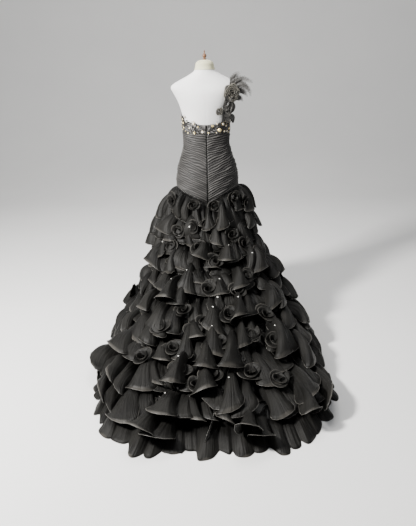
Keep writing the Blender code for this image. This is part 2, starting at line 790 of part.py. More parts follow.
def build_fronds():
    """Feather-like fronds that fan out from the shoulder, their roots fused into one narrow strip."""
    low, high = FROND_PLACES
    near, far = FROND_SHARES
    build = bmesh.new()
    corners = {}
    for row in range(FROND_ROWS + 1):
        for column in range(FROND_COLUMNS + 1):
            place = low + (high - low) * column / FROND_COLUMNS
            share = near + (far - near) * row / FROND_ROWS
            for layer, distance in enumerate((FROND_SEAT, FROND_SEAT + 2.6 * MM)):
                corners[row, column, layer] = build.verts.new(strap_point(place, share, distance))
    tops = []
    for row in range(FROND_ROWS):
        for column in range(FROND_COLUMNS):
            cell = [(row, column), (row, column + 1), (row + 1, column + 1), (row + 1, column)]
            tops.append(build.faces.new([corners[r, c, 1] for r, c in cell]))
            build.faces.new([corners[r, c, 0] for r, c in reversed(cell)])
    rim = (
        [(0, c) for c in range(FROND_COLUMNS)]
        + [(r, FROND_COLUMNS) for r in range(FROND_ROWS)]
        + [(FROND_ROWS, c) for c in range(FROND_COLUMNS, 0, -1)]
        + [(r, 0) for r in range(FROND_ROWS, 0, -1)]
    )
    for here, there in zip(rim, rim[1:] + rim[:1]):
        build.faces.new((corners[*here, 0], corners[*there, 0], corners[*there, 1], corners[*here, 1]))
    bmesh.ops.recalc_face_normals(build, faces=build.faces)
    bmesh.ops.inset_individual(build, faces=tops, thickness=0.9 * MM)
    for number, top in enumerate(tops):
        fan = number / (FROND_COLUMNS - 1) - 0.5
        reach = 0.056 + 0.010 * math.sin(2.4 * number + 0.8) - 0.016 * fan
        sideways = Vector((-1.0, 0.05 + 0.30 * (number % 2), 2.2 * fan + 0.3))
        heading = (top.normal * 0.35 + sideways).normalized()
        step = reach / FROND_SEGMENTS
        for segment in range(FROND_SEGMENTS):
            top = bmesh.ops.extrude_discrete_faces(build, faces=[top])["faces"][0]
            middle = top.calc_center_median()
            for vert in top.verts:
                vert.co = middle + (vert.co - middle) * 0.82 + heading * step
            heading = (heading + Vector((0, 0, -0.16))).normalized()
    return finish_wall("frond_spray", build, organza)


# The skirt's panels

def build_skirt_panels():
    rings = range(len(SKIRT) - 1)
    quarter = SKIRT_COLUMNS // 4
    panels = {
        "skirt_back_left": range(0, quarter + 1),
        "skirt_front": range(quarter, 3 * quarter + 1),
        "skirt_back_right": range(3 * quarter, SKIRT_COLUMNS + 1),
    }
    for name, columns in panels.items():
        rows = []
        for ring in rings:
            row = [Vector(SKIRT_GRID[ring, column % SKIRT_COLUMNS]) for column in columns]
            inset = SEAM_GAP / 2 + 0.35 * MM
            row[0] += (row[1] - row[0]).normalized() * inset
            row[-1] += (row[-2] - row[-1]).normalized() * inset
            rows.append(row)
        open_sheet(name, rows, False, skirt_chiffon, SKIRT_WALL, -1)


# The ruffles

def ruffle_phase(number, waves, turn):
    """The wave's phase at a turn: uneven, so that no two waves are the same width."""
    return (
        waves * turn
        + 2.4 * number
        + 0.55 * math.sin(2 * turn + 1.3 * number)
        + 0.30 * math.sin(5 * turn + 2.1 * number)
    )


def ruffle_turns(number, waves):
    """Turns of the ruffle's columns: six to a wave, with one on each edge between the skirt's facets."""
    fine = np.linspace(0, TAU, 2000)
    phases = [ruffle_phase(number, waves, turn) for turn in fine]
    wanted = phases[0] + np.arange(waves * COLUMNS_PER_WAVE) * TAU / COLUMNS_PER_WAVE
    turns = np.interp(wanted, phases, fine)
    for column in range(SKIRT_COLUMNS):
        edge = TAU * column / SKIRT_COLUMNS
        away = np.abs((turns - edge + math.pi) % TAU - math.pi)
        turns[int(away.argmin())] = edge
    return sorted(set(turns.tolist()))


def ruffle_seam(number, turn):
    """Place of a tier's seam in skirt rings: it wanders up and down as it goes round."""
    if number == len(RUFFLES):
        return LAST_SEAM
    tier = RUFFLES[number]
    return tier.seam + tier.wander * math.sin(3 * turn + 0.55 * number + 1.1)


def ruffle_profile(width, edge_degrees, share):
    """(along the skirt, out from it) at a share of the strip's width, as it curls from its seam angle."""
    along = out = 0.0
    steps = 12
    for step in range(steps):
        here = share * (step + 0.5) / steps
        angle = math.radians(RUFFLE_SPRING + (edge_degrees - RUFFLE_SPRING) * here**RUFFLE_CURL)
        along += width * share / steps * math.cos(angle)
        out += width * share / steps * math.sin(angle)
    return along, out


def ruffle_column(number, turn):
    """Points of one tier at a turn, from its free edge back to its seam."""
    tier = RUFFLES[number]
    phase = ruffle_phase(number, tier.waves, turn)
    pace = (ruffle_phase(number, tier.waves, turn + 0.01) - phase) / 0.01
    seam = ruffle_seam(number, turn)
    below = ruffle_seam(number + 1, turn)
    start, end = on_skirt(seam, turn)[0], on_skirt(below, turn)[0]
    ring_length = np.linalg.norm(end - start) / (below - seam)
    width = (below - seam) * ring_length * RUFFLE_OVERLAP
    stand = 0.5 + 0.5 * math.cos(phase)
    height = 1 + 0.12 * math.sin(3 * turn + 1.7 * number)
    edge = tier.flat + (tier.stand * height - tier.flat) * stand
    lift = RUFFLE_SEAM_GAP + RUFFLE_WALL / 2
    points = []
    for share in (1.0, 0.5, 0.0):
        along, out = ruffle_profile(width, edge, share)
        shifted = turn - RUFFLE_GATHER * share * math.sin(phase) / pace
        point, normal = on_skirt(seam + along / ring_length, shifted)
        points.append(Vector(point + normal * max(out + lift, lift)))
    return points


def build_ruffles():
    for number, tier in enumerate(RUFFLES):
        columns = [ruffle_column(number, turn) for turn in ruffle_turns(number, tier.waves)]
        rows = [[column[place] for column in columns] for place in (2, 1, 0)]
        open_sheet(f"ruffle_{number + 1:02d}", rows, True, organza, RUFFLE_WALL, 0)


for old in list(bpy.data.objects):
    bpy.data.objects.remove(old)
parts = bpy.data.collections.new("prom_dress_on_form")
cutters = bpy.data.collections.new("cutters")
bpy.context.scene.collection.children.link(parts)
bpy.context.scene.collection.children.link(cutters)

chiffon = material("ruched_chiffon", (0.045, 0.042, 0.040), 0.62)
skirt_chiffon = material("skirt_chiffon", (0.035, 0.033, 0.031), 0.62)
organza = material("organza", (0.030, 0.029, 0.027), 0.55)
jewelled = material("jewelled_lace", (0.060, 0.055, 0.045), 0.45)
jersey = material("white_jersey", (0.82, 0.82, 0.80), 0.80)
cap_cloth = material("cream_cap", (0.80, 0.78, 0.62), 0.70)
wood = material("turned_wood", (0.42, 0.22, 0.10), 0.40)
steel = material("stand_steel", (0.08, 0.08, 0.08), 0.40, 1.0)
zip_black = material("zip_tape", (0.020, 0.020, 0.020), 0.55)
black_metal = material("zip_metal", (0.05, 0.05, 0.05), 0.30, 1.0)

torso = build_torso()
build_neck_and_stand()
build_bodice()
build_band()
build_zip()
strap = build_strap()
bpy.context.view_layer.update()
shoulder = seats(torso, strap)
for rosette in ROSETTES:
    build_rosette(rosette, shoulder)
build_fronds()
build_skirt_panels()
build_ruffles()
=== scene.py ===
import math

import bmesh
import bpy
import numpy as np
from mathutils import Matrix, Vector


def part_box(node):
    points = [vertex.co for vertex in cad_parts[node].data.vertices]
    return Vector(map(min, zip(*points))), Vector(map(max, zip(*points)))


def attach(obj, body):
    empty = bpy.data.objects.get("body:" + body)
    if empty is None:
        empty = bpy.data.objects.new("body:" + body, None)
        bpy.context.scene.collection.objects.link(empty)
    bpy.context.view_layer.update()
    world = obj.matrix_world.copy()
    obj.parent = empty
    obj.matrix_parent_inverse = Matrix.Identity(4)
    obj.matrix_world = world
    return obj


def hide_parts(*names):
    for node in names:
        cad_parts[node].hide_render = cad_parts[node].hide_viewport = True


# A black one-shoulder prom dress with a ruffled train, seen from behind on its white dress form.
# Metres, +Z up, the form's foot at the origin, the train along +Y, the wearer's right at -X.
# A turn is the angle round the body: 0 at the centre back, a quarter turn at the wearer's left.

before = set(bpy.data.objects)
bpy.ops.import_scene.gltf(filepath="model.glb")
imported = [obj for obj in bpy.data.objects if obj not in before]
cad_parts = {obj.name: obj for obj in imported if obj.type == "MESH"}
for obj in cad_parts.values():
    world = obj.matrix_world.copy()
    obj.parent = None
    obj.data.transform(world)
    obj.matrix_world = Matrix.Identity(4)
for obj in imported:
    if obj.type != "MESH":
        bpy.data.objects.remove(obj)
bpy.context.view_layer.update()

fullTurn = 2 * math.pi
mm = 0.001

# The form's sections, as in the frame: height, half width, reach to the front and to the back
torsoTable = np.array([
    (0.735, 0.158, 0.103, 0.110), (0.765, 0.170, 0.109, 0.121), (0.805, 0.175, 0.112, 0.127),
    (0.850, 0.177, 0.113, 0.129), (0.895, 0.174, 0.113, 0.124), (0.940, 0.166, 0.110, 0.113),
    (0.985, 0.151, 0.106, 0.098), (1.030, 0.136, 0.101, 0.086), (1.080, 0.127, 0.098, 0.080),
    (1.125, 0.128, 0.101, 0.083), (1.170, 0.131, 0.110, 0.089), (1.215, 0.132, 0.124, 0.096),
    (1.260, 0.140, 0.127, 0.102), (1.310, 0.157, 0.112, 0.107), (1.352, 0.178, 0.086, 0.104),
    (1.382, 0.193, 0.064, 0.092), (1.402, 0.183, 0.053, 0.081), (1.428, 0.136, 0.046, 0.070),
    (1.452, 0.089, 0.043, 0.061), (1.472, 0.060, 0.045, 0.054), (1.500, 0.050, 0.049, 0.050),
])
# The jewelled band round the body: degrees from the centre back, its foot and its top
neckTable = np.array([
    (0, 1.136, 1.186), (45, 1.142, 1.194), (90, 1.160, 1.222),
    (125, 1.188, 1.270), (150, 1.200, 1.290), (180, 1.190, 1.262),
])
# The skirt's rings, waist to hem: z at front, side and back, half width, y at front, widest and back, how
# far the ring dips at the centre as a vee, how far its back corners swell
skirtTable = np.array([
    (0.758, 0.828, 0.746, 0.180, -0.116, 0.000, 0.128, 1.0, 0.00),
    (0.690, 0.748, 0.665, 0.199, -0.137, 0.000, 0.155, 0.6, 0.00),
    (0.602, 0.650, 0.574, 0.223, -0.162, 0.008, 0.200, 0.2, 0.00),
    (0.514, 0.553, 0.484, 0.249, -0.187, 0.020, 0.260, 0.0, 0.00),
    (0.426, 0.457, 0.395, 0.279, -0.212, 0.042, 0.342, 0.0, 0.01),
    (0.339, 0.363, 0.308, 0.315, -0.238, 0.076, 0.450, 0.0, 0.02),
    (0.254, 0.271, 0.227, 0.360, -0.265, 0.128, 0.588, 0.0, 0.04),
    (0.173, 0.184, 0.154, 0.412, -0.292, 0.206, 0.756, 0.0, 0.07),
    (0.102, 0.108, 0.092, 0.464, -0.317, 0.312, 0.944, 0.0, 0.10),
    (0.045, 0.047, 0.041, 0.512, -0.340, 0.436, 1.146, 0.0, 0.13),
    (0.002, 0.002, 0.002, 0.552, -0.360, 0.560, 1.350, 0.0, 0.15),
    (0.002, 0.002, 0.002, 0.618, -0.440, 0.620, 1.470, 0.0, 0.15),
])
# Ruffle tiers: seam in skirt rings, waves, how far a wave stands, how far the seam wanders, lobes round it
ruffleTable = [
    (0.08, 7, 84, 0.00, 14), (0.96, 7, 88, 0.10, 12), (1.82, 7, 92, 0.16, 13), (2.66, 8, 96, 0.18, 14),
    (3.47, 8, 98, 0.18, 15), (4.25, 8, 96, 0.17, 16), (5.00, 9, 92, 0.16, 17), (5.73, 9, 88, 0.15, 18),
    (6.45, 10, 84, 0.13, 20), (7.16, 10, 78, 0.11, 21), (7.88, 11, 72, 0.09, 23), (8.61, 11, 62, 0.04, 25),
    (9.36, 11, 44, 0.00, 27),
]
lastSeam = 10.14
# The strap, back to front: signed root of its fall below the shoulder's crest, inner and outer edge
strapTable = np.array([
    (0.45, -0.086, -0.121), (0.30, -0.116, -0.152), (0.15, -0.136, -0.174), (0.00, -0.141, -0.179),
    (-0.15, -0.137, -0.175), (-0.29, -0.117, -0.154), (-0.365, -0.095, -0.129),
])


# Surfaces

def cubic(rowAt, count, at):
    # The smooth cubic from one numbered row to the next, steered by the rows on either side of them
    last = count - 1
    step = np.clip(np.floor(at).astype(int), 0, last - 1)
    share = np.clip(at - step, 0, 1)[..., None]
    before, start, end, after = (rowAt(np.clip(step + offset, 0, last)) for offset in (-1, 0, 1, 2))
    return 0.5 * (
        2 * start + (end - before) * share + (2 * before - 5 * start + 4 * end - after) * share**2
        + (3 * start - before - 3 * end + after) * share**3
    )


def curveThrough(table, at):
    return cubic(lambda row: table[row], len(table), at)


torsoPlaces = np.arange(8 * len(torsoTable) - 7) / 8
torsoHeights = curveThrough(torsoTable, torsoPlaces)[:, 0]


def torsoPoint(turn, height):
    # An oval at each height: x is the half width times the turn's sine, y the reach times its cosine
    turn, height = np.broadcast_arrays(np.asarray(turn, float), np.asarray(height, float))
    section = curveThrough(torsoTable, np.interp(height, torsoHeights, torsoPlaces))
    reach = np.where(np.cos(turn) > 0, section[..., 3], section[..., 2])
    return np.stack([section[..., 1] * np.sin(turn), reach * np.cos(turn), height], -1)


def unit(vectors):
    return vectors / np.maximum(np.linalg.norm(vectors, axis=-1, keepdims=True), 1e-12)


def torsoNormal(turn, height):
    across = torsoPoint(turn + 0.02, height) - torsoPoint(turn - 0.02, height)
    down = torsoPoint(turn, height - 0.004) - torsoPoint(turn, height + 0.004)
    return unit(np.cross(across, down))


def offTorso(turn, height, distance):
    distance = np.asarray(distance, float)[..., None]
    return torsoPoint(turn, height) + torsoNormal(turn, height) * distance


def neckline(turn):
    # The foot and the top of the band at a turn, the same on both sides
    degrees = np.abs(np.degrees((turn + math.pi) % fullTurn - math.pi))
    found = curveThrough(neckTable, np.interp(degrees, neckTable[:, 0], np.arange(len(neckTable))))
    return found[..., 1], found[..., 2]


def skirtRing(ring, turn):
    # An oval longer to the back, its height dipping towards the centre, its back corners swelled
    zFront, zSide, zBack, halfWidth, yFront, yWide, yBack, vee, corner = ring
    cosine, sine = np.cos(turn), np.sin(turn)
    toCentre = vee * (1 - np.abs(sine)) + (1 - vee) * cosine**2
    reach = np.where(cosine > 0, yBack - yWide, yWide - yFront)
    swell = 1 + np.where(cosine > 0, corner * np.sin(2 * turn) ** 2, 0)
    z = zSide + (np.where(cosine > 0, zBack, zFront) - zSide) * toCentre
    return np.stack([halfWidth * sine * swell, yWide + reach * cosine * swell, z], -1)


skirtColumns = 384
skirtTurns = np.arange(skirtColumns) * fullTurn / skirtColumns
skirtGrid = np.array([skirtRing(ring, skirtTurns) for ring in skirtTable])
waistHeights = skirtGrid[0, :, 2].copy()
skirtGrid[0] = offTorso(skirtTurns, waistHeights, 3.8 * mm)


def waistSeam(turn):
    heights = np.append(waistHeights, waistHeights[0])
    return np.interp(turn % fullTurn, np.append(skirtTurns, fullTurn), heights)


def onSkirt(ring, turn):
    # The cubic down the rings at the two nearest columns, and a straight line between them
    ring, turn = np.broadcast_arrays(np.asarray(ring, float), np.asarray(turn, float))
    place = (turn / fullTurn * skirtColumns) % skirtColumns
    left = np.floor(place).astype(int) % skirtColumns
    across = (place - np.floor(place))[..., None]

    def column(number):
        return cubic(lambda row: skirtGrid[row, number], len(skirtGrid), ring)

    return column(left) * (1 - across) + column((left + 1) % skirtColumns) * across


def skirtNormal(ring, turn):
    ring = np.clip(ring, 0.05, len(skirtGrid) - 1.05)
    across = onSkirt(ring, turn + 0.02) - onSkirt(ring, turn - 0.02)
    down = onSkirt(ring + 0.05, turn) - onSkirt(ring - 0.05, turn)
    return unit(np.cross(across, down))


crestHeights = np.linspace(1.382, 1.500, 240)
crestWidths = torsoPoint(math.pi / 2, crestHeights)[:, 0]


def strapPoint(place, share, distance):
    # Over the shoulder: x between the two edges, its height below the crest by the square of the fall's
    # root, drawn down to the top of the band in the last third of a section at both ends
    place, share = np.broadcast_arrays(np.asarray(place, float), np.asarray(share, float))
    fall, inner, outer = np.moveaxis(curveThrough(strapTable, place), -1, 0)
    x = np.abs(inner + (outer - inner) * share)
    height = np.interp(-x, -crestWidths, crestHeights) - fall**2
    reached = np.clip(3 * np.minimum(place, len(strapTable) - 1 - place), 0, 1)
    above = height
    for _ in range(3):
        turn = -np.arcsin(np.clip(x / torsoPoint(math.pi / 2, above)[..., 0], 0, 1))
        turn = np.where(fall > 0, turn, -math.pi - turn)
        above = height * reached + (neckline(turn)[1] + 1.5 * mm) * (1 - reached)
    return offTorso(turn, above, distance)


def drift(u, v, seed):
    # Three sines of unlike pace and direction, summed and kept between -1 and 1
    return (
        np.sin(u + 1.7 * v + seed) + 0.6 * np.sin(2.3 * u - 1.1 * v + 2.1 * seed)
        + 0.4 * np.sin(3.9 * u + 3.1 * v + 4.7 * seed)
    ) / 2


# Meshes

def ringed(points, closed):
    return np.concatenate([points, points[:, :1]], 1) if closed else points


def clothCoordinates(points, closed):
    # Metres along the rows and down the columns, as the cloth would measure laid flat
    u = np.append(0, np.cumsum(np.linalg.norm(np.diff(ringed(points, closed), axis=1), axis=2).mean(0)))
    v = np.append(0, np.cumsum(np.linalg.norm(np.diff(points, axis=0), axis=2).mean(1)))
    return u, v


def gridPiece(name, points, finish, closed=False, share=None, wall=None, offset=-1.0, weld=False):
    # Faces between neighbouring points of a grid; its rows run down and its columns along the turn
    rows, columns = points.shape[:2]
    index = ringed(np.arange(rows * columns).reshape(rows, columns), closed)
    corners = [index[:-1, :-1], index[:-1, 1:], index[1:, 1:], index[1:, :-1]]
    faces = np.stack(corners, -1).reshape(-1, 4)
    mesh = bpy.data.meshes.new(name)
    mesh.from_pydata(points.reshape(-1, 3).tolist(), [], faces.tolist())
    u, v = clothCoordinates(points, closed)
    across, down = np.meshgrid(u, v)
    flat = np.stack([across, down], -1)
    loops = np.stack([flat[:-1, :-1], flat[:-1, 1:], flat[1:, 1:], flat[1:, :-1]], 2).reshape(-1, 2)
    mesh.uv_layers.new(name="cloth").data.foreach_set("uv", loops.astype(np.float32).ravel())
    if share is not None:
        column = np.broadcast_to(share, (rows, columns)).astype(np.float32)
        mesh.attributes.new("share", "FLOAT", "POINT").data.foreach_set("value", column.ravel())
    if weld:
        build = bmesh.new()
        build.from_mesh(mesh)
        bmesh.ops.remove_doubles(build, verts=build.verts, dist=1e-6)
        build.to_mesh(mesh)
        build.free()
    mesh.shade_smooth()
    return finished(name, mesh, finish, wall, offset)


def finished(name, mesh, finish, wall=None, offset=-1.0):
    mesh.materials.append(finish)
    piece = bpy.data.objects.new(name, mesh)
    bpy.context.scene.collection.objects.link(piece)
    if wall:
        shell = piece.modifiers.new("wall", "SOLIDIFY")
        shell.thickness = wall
        shell.offset = offset
    return piece


def sewnIn(piece, slotName, *replaced):
    # Everything but the zip's pull keeps still, in one body with the form
    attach(piece, "dress_on_form")
    if replaced:
        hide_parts(*replaced)


cuts = []


def clothPiece(name, points, finish, slotName, held, restsOn, replaced=(), closed=False, **more):
    # A grid of cloth, with its cut as measured kept for printing: its mean row, its mean column and its
    # faces' area
    piece = gridPiece(name, points, finish, closed, **more)
    across, down = np.diff(ringed(points, closed), axis=1), np.diff(ringed(points, closed), axis=0)
    width = float(np.linalg.norm(across, axis=2).sum(1).mean())
    length = float(np.linalg.norm(down, axis=2).sum(0).mean())
    upper = np.linalg.norm(np.cross(across[:-1], down[:, :-1]), axis=2)
    lower = np.linalg.norm(np.cross(across[1:], down[:, 1:]), axis=2)
    area = min(float((upper + lower).sum() / 2), width * length)
    sewnIn(piece, slotName, *replaced)
    cuts.append((name, width, length, area))


def framesOn(normals):
    # Three axes at each place: across, up and outward
    outward = unit(np.asarray(normals, float))
    across = unit(np.cross(np.broadcast_to((0.0, 0.0, 1.0), outward.shape), outward))
    return np.stack([across, np.cross(outward, across), outward], -1)


def repeated(name, shape, places, frames, sizes, finish):
    # One small shape set at many places: its points times the size, turned by each frame and moved
    points, faces = shape
    points = np.asarray(points, float)
    sizes = np.asarray(sizes, float)
    sizes = sizes[:, None, None] if sizes.ndim == 1 else sizes[:, None, :]
    placed = np.einsum("nij,nkj->nki", frames, points[None] * sizes) + np.asarray(places)[:, None]
    count = len(points)
    every = [tuple(number * count + i for i in face) for number in range(len(placed)) for face in faces]
    mesh = bpy.data.meshes.new(name)
    mesh.from_pydata(placed.reshape(-1, 3).tolist(), [], every)
    return finished(name, mesh, finish)


def turnedPiece(name, profile, segments, finish):
    # A profile of (radius, height) from top to bottom, carried round the upright axis
    turn = np.arange(segments) * fullTurn / segments
    radius, height = profile[:, :1], np.repeat(profile[:, 1:], segments, 1)
    points = np.stack([radius * np.sin(turn), radius * np.cos(turn), height], -1)
    return gridPiece(name, points, finish, closed=True, weld=True)


# Shader node groups: each is built once and placed in the materials with its own values

def newGroup(name, inputs, outputs):
    group = bpy.data.node_groups.new(name, "ShaderNodeTree")
    for label, kind, value in inputs:
        socket = group.interface.new_socket(label, in_out="INPUT", socket_type=kind)
        if value is not None:
            socket.default_value = value
    for label, kind in outputs:
        group.interface.new_socket(label, in_out="OUTPUT", socket_type=kind)
    return group, group.nodes.new("NodeGroupInput"), group.nodes.new("NodeGroupOutput")


def feed(tree, socket, given):
    # Another node's output is linked, and a plain value is set on the socket itself
    if isinstance(given, bpy.types.NodeSocket):
        tree.links.new(given, socket)
    else:
        socket.default_value = given


def mathNode(tree, operation, *values):
    node = tree.nodes.new("ShaderNodeMath")
    node.operation = operation
    for socket, value in zip(node.inputs, values):
        feed(tree, socket, value)
    return node.outputs[0]


def mapNode(tree, value, low, high, toLow, toHigh):
    node = tree.nodes.new("ShaderNodeMapRange")
    labels = ("Value", "From Min", "From Max", "To Min", "To Max")
    for label, given in zip(labels, (value, low, high, toLow, toHigh)):
        feed(tree, node.inputs[label], given)
    return node.outputs["Result"]


def mixColours(tree, factor, first, second):
    node = tree.nodes.new("ShaderNodeMix")
    node.data_type = "RGBA"
    for socket, given in ((0, factor), (6, first), (7, second)):
        feed(tree, node.inputs[socket], (*given, 1) if isinstance(given, tuple) else given)
    return node.outputs[2]


def noiseNode(tree, vector, scale, detail):
    node = tree.nodes.new("ShaderNodeTexNoise")
    for label, given in (("Vector", vector), ("Scale", scale), ("Detail", detail)):
        feed(tree, node.inputs[label], given)
    return node.outputs["Fac"]


def stretched(tree, vector, scale):
    node = tree.nodes.new("ShaderNodeMapping")
    node.inputs["Scale"].default_value = scale
    tree.links.new(vector, node.inputs["Vector"])
    return node.outputs["Vector"]


def makeWeaveGroup():
    # Warp and weft threads as crossing ridges, with slubs where the yarn thickens
    group, given, out = newGroup(
        "threadWeave",
        [
            ("Cloth", "NodeSocketVector", None), ("Threads", "NodeSocketFloat", 1200.0),
            ("Slub", "NodeSocketFloat", 0.3),
        ],
        [("Height", "NodeSocketFloat"), ("Slubs", "NodeSocketFloat")],
    )
    parts = group.nodes.new("ShaderNodeSeparateXYZ")
    group.links.new(given.outputs["Cloth"], parts.inputs[0])
    pace = mathNode(group, "MULTIPLY", given.outputs["Threads"], math.pi)
    waves = [
        mathNode(group, "SINE", mathNode(group, "MULTIPLY", parts.outputs[axis], pace)) for axis in (0, 1)
    ]
    ridges = [mathNode(group, "ABSOLUTE", wave) for wave in waves]
    slubs = noiseNode(group, given.outputs["Cloth"], 160.0, 3.0)
    crossing = mathNode(group, "MAXIMUM", *ridges)
    height = mathNode(group, "ADD", mathNode(group, "MULTIPLY", slubs, given.outputs["Slub"]), crossing)
    group.links.new(height, out.inputs["Height"])
    group.links.new(slubs, out.inputs["Slubs"])
    return group


def makeToneGroup():
    # Two tones of one colour in soft clouds, with painted shade that darkens them where the cloth's share is
    # low, as deep in a fold, and a painted highlight in the rim colour from the rim's start up to 1; a start
    # past 1 leaves the painted highlight out
    group, given, out = newGroup(
        "clothTone",
        [
            ("Place", "NodeSocketVector", None), ("Share", "NodeSocketFloat", 0.0),
            ("Scale", "NodeSocketFloat", 9.0), ("Dark", "NodeSocketColor", (0.02, 0.02, 0.02, 1)),
            ("Light", "NodeSocketColor", (0.05, 0.05, 0.05, 1)),
            ("Rim", "NodeSocketColor", (0.09, 0.09, 0.09, 1)), ("Rim Start", "NodeSocketFloat", 0.93),
            ("Deepest", "NodeSocketFloat", 1.0), ("Deep Until", "NodeSocketFloat", 0.6),
        ],
        [("Colour", "NodeSocketColor"), ("Cloud", "NodeSocketFloat")],
    )
    cloud = noiseNode(group, given.outputs["Place"], given.outputs["Scale"], 4.0)
    spread = mapNode(group, cloud, 0.35, 0.65, 0.0, 1.0)
    clouded = mixColours(group, spread, given.outputs["Dark"], given.outputs["Light"])
    share, rimHighlightStart = given.outputs["Share"], given.outputs["Rim Start"]
    # painted shade: the colour darkens as the share falls towards 0
    depth = mapNode(group, share, 0.0, given.outputs["Deep Until"], given.outputs["Deepest"], 1.0)
    body = mixColours(group, depth, (0.0, 0.0, 0.0), clouded)
    # painted highlight: the rim colour takes over from the rim's start upwards
    rimEnd = mathNode(group, "MAXIMUM", mathNode(group, "ADD", rimHighlightStart, 0.01), 1.0)
    rim = mapNode(group, share, rimHighlightStart, rimEnd, 0.0, 1.0)
    group.links.new(mixColours(group, rim, body, given.outputs["Rim"]), out.inputs["Colour"])
    group.links.new(cloud, out.inputs["Cloud"])
    return group


weaveGroup = makeWeaveGroup()
toneGroup = makeToneGroup()


def placeGroup(tree, group, **values):
    node = tree.nodes.new("ShaderNodeGroup")
    node.node_tree = group
    for label, given in values.items():
        feed(tree, node.inputs[label.replace("_", " ")], given)
    return node


def newMaterial(name, **sockets):
    made = bpy.data.materials.new(name)
    made.use_nodes = True
    shader = made.node_tree.nodes["Principled BSDF"]
    for label, value in sockets.items():
        shader.inputs[label.replace("_", " ")].default_value = value
    return made, made.node_tree, shader


def addBump(tree, shader, height, distance):
    bump = tree.nodes.new("ShaderNodeBump")
    bump.inputs["Distance"].default_value = distance
    tree.links.new(height, bump.inputs["Height"])
    tree.links.new(bump.outputs["Normal"], shader.inputs["Normal"])


# What a cloth has where its own look says nothing else
plainCloth = {
    "rim": (0.0, 0.0, 0.0), "rimHighlightStart": 1.5, "deepestShade": 1.0, "deepUntil": 0.6, "threadDepth": 0.15 * mm,
    "slub": 0.2, "sheenRoughness": 0.35,
}


def clothMaterial(name, look):
    # Woven cloth: tone in clouds with painted shade and a painted highlight set by the share, threads as
    # bump, roughness that follows the tone, a plain sheen
    look = {**plainCloth, **look}
    made, tree, shader = newMaterial(
        name, Sheen_Weight=look["sheen"], Sheen_Roughness=look["sheenRoughness"],
        Sheen_Tint=(*look["sheenTint"], 1), Specular_IOR_Level=look["specular"],
    )
    coordinates = tree.nodes.new("ShaderNodeTexCoord")
    share = tree.nodes.new("ShaderNodeAttribute")
    share.attribute_name = "share"
    tone = placeGroup(
        tree, toneGroup, Place=coordinates.outputs["Object"], Share=share.outputs["Fac"],
        Scale=look["cloud"], Dark=(*look["dark"], 1), Light=(*look["light"], 1), Rim=(*look["rim"], 1),
        Rim_Start=look["rimHighlightStart"], Deepest=look["deepestShade"], Deep_Until=look["deepUntil"],
    )
    weave = placeGroup(
        tree, weaveGroup, Cloth=coordinates.outputs["UV"], Threads=look["threads"], Slub=look["slub"],
    )
    tree.links.new(tone.outputs["Colour"], shader.inputs["Base Color"])
    roughness = mapNode(tree, tone.outputs["Cloud"], 0.3, 0.7, *look["roughness"])
    tree.links.new(roughness, shader.inputs["Roughness"])
    if "creases" in look:
        # long creases down the strip, far finer across it than along it
        pace, depth = look["creases"]
        noise = noiseNode(tree, stretched(tree, coordinates.outputs["UV"], (pace, pace * 0.11, 1)), 1.0, 3.0)
        thread = mathNode(tree, "MULTIPLY", weave.outputs["Height"], look["threadDepth"])
        addBump(tree, shader, mathNode(tree, "ADD", mathNode(tree, "MULTIPLY", noise, depth), thread), 1.0)
    else:
        addBump(tree, shader, weave.outputs["Height"], look["threadDepth"])
    if "sheer" in look:
        alpha = mapNode(tree, weave.outputs["Slubs"], 0.3, 0.7, *look["sheer"])
        tree.links.new(alpha, shader.inputs["Alpha"])
    return made
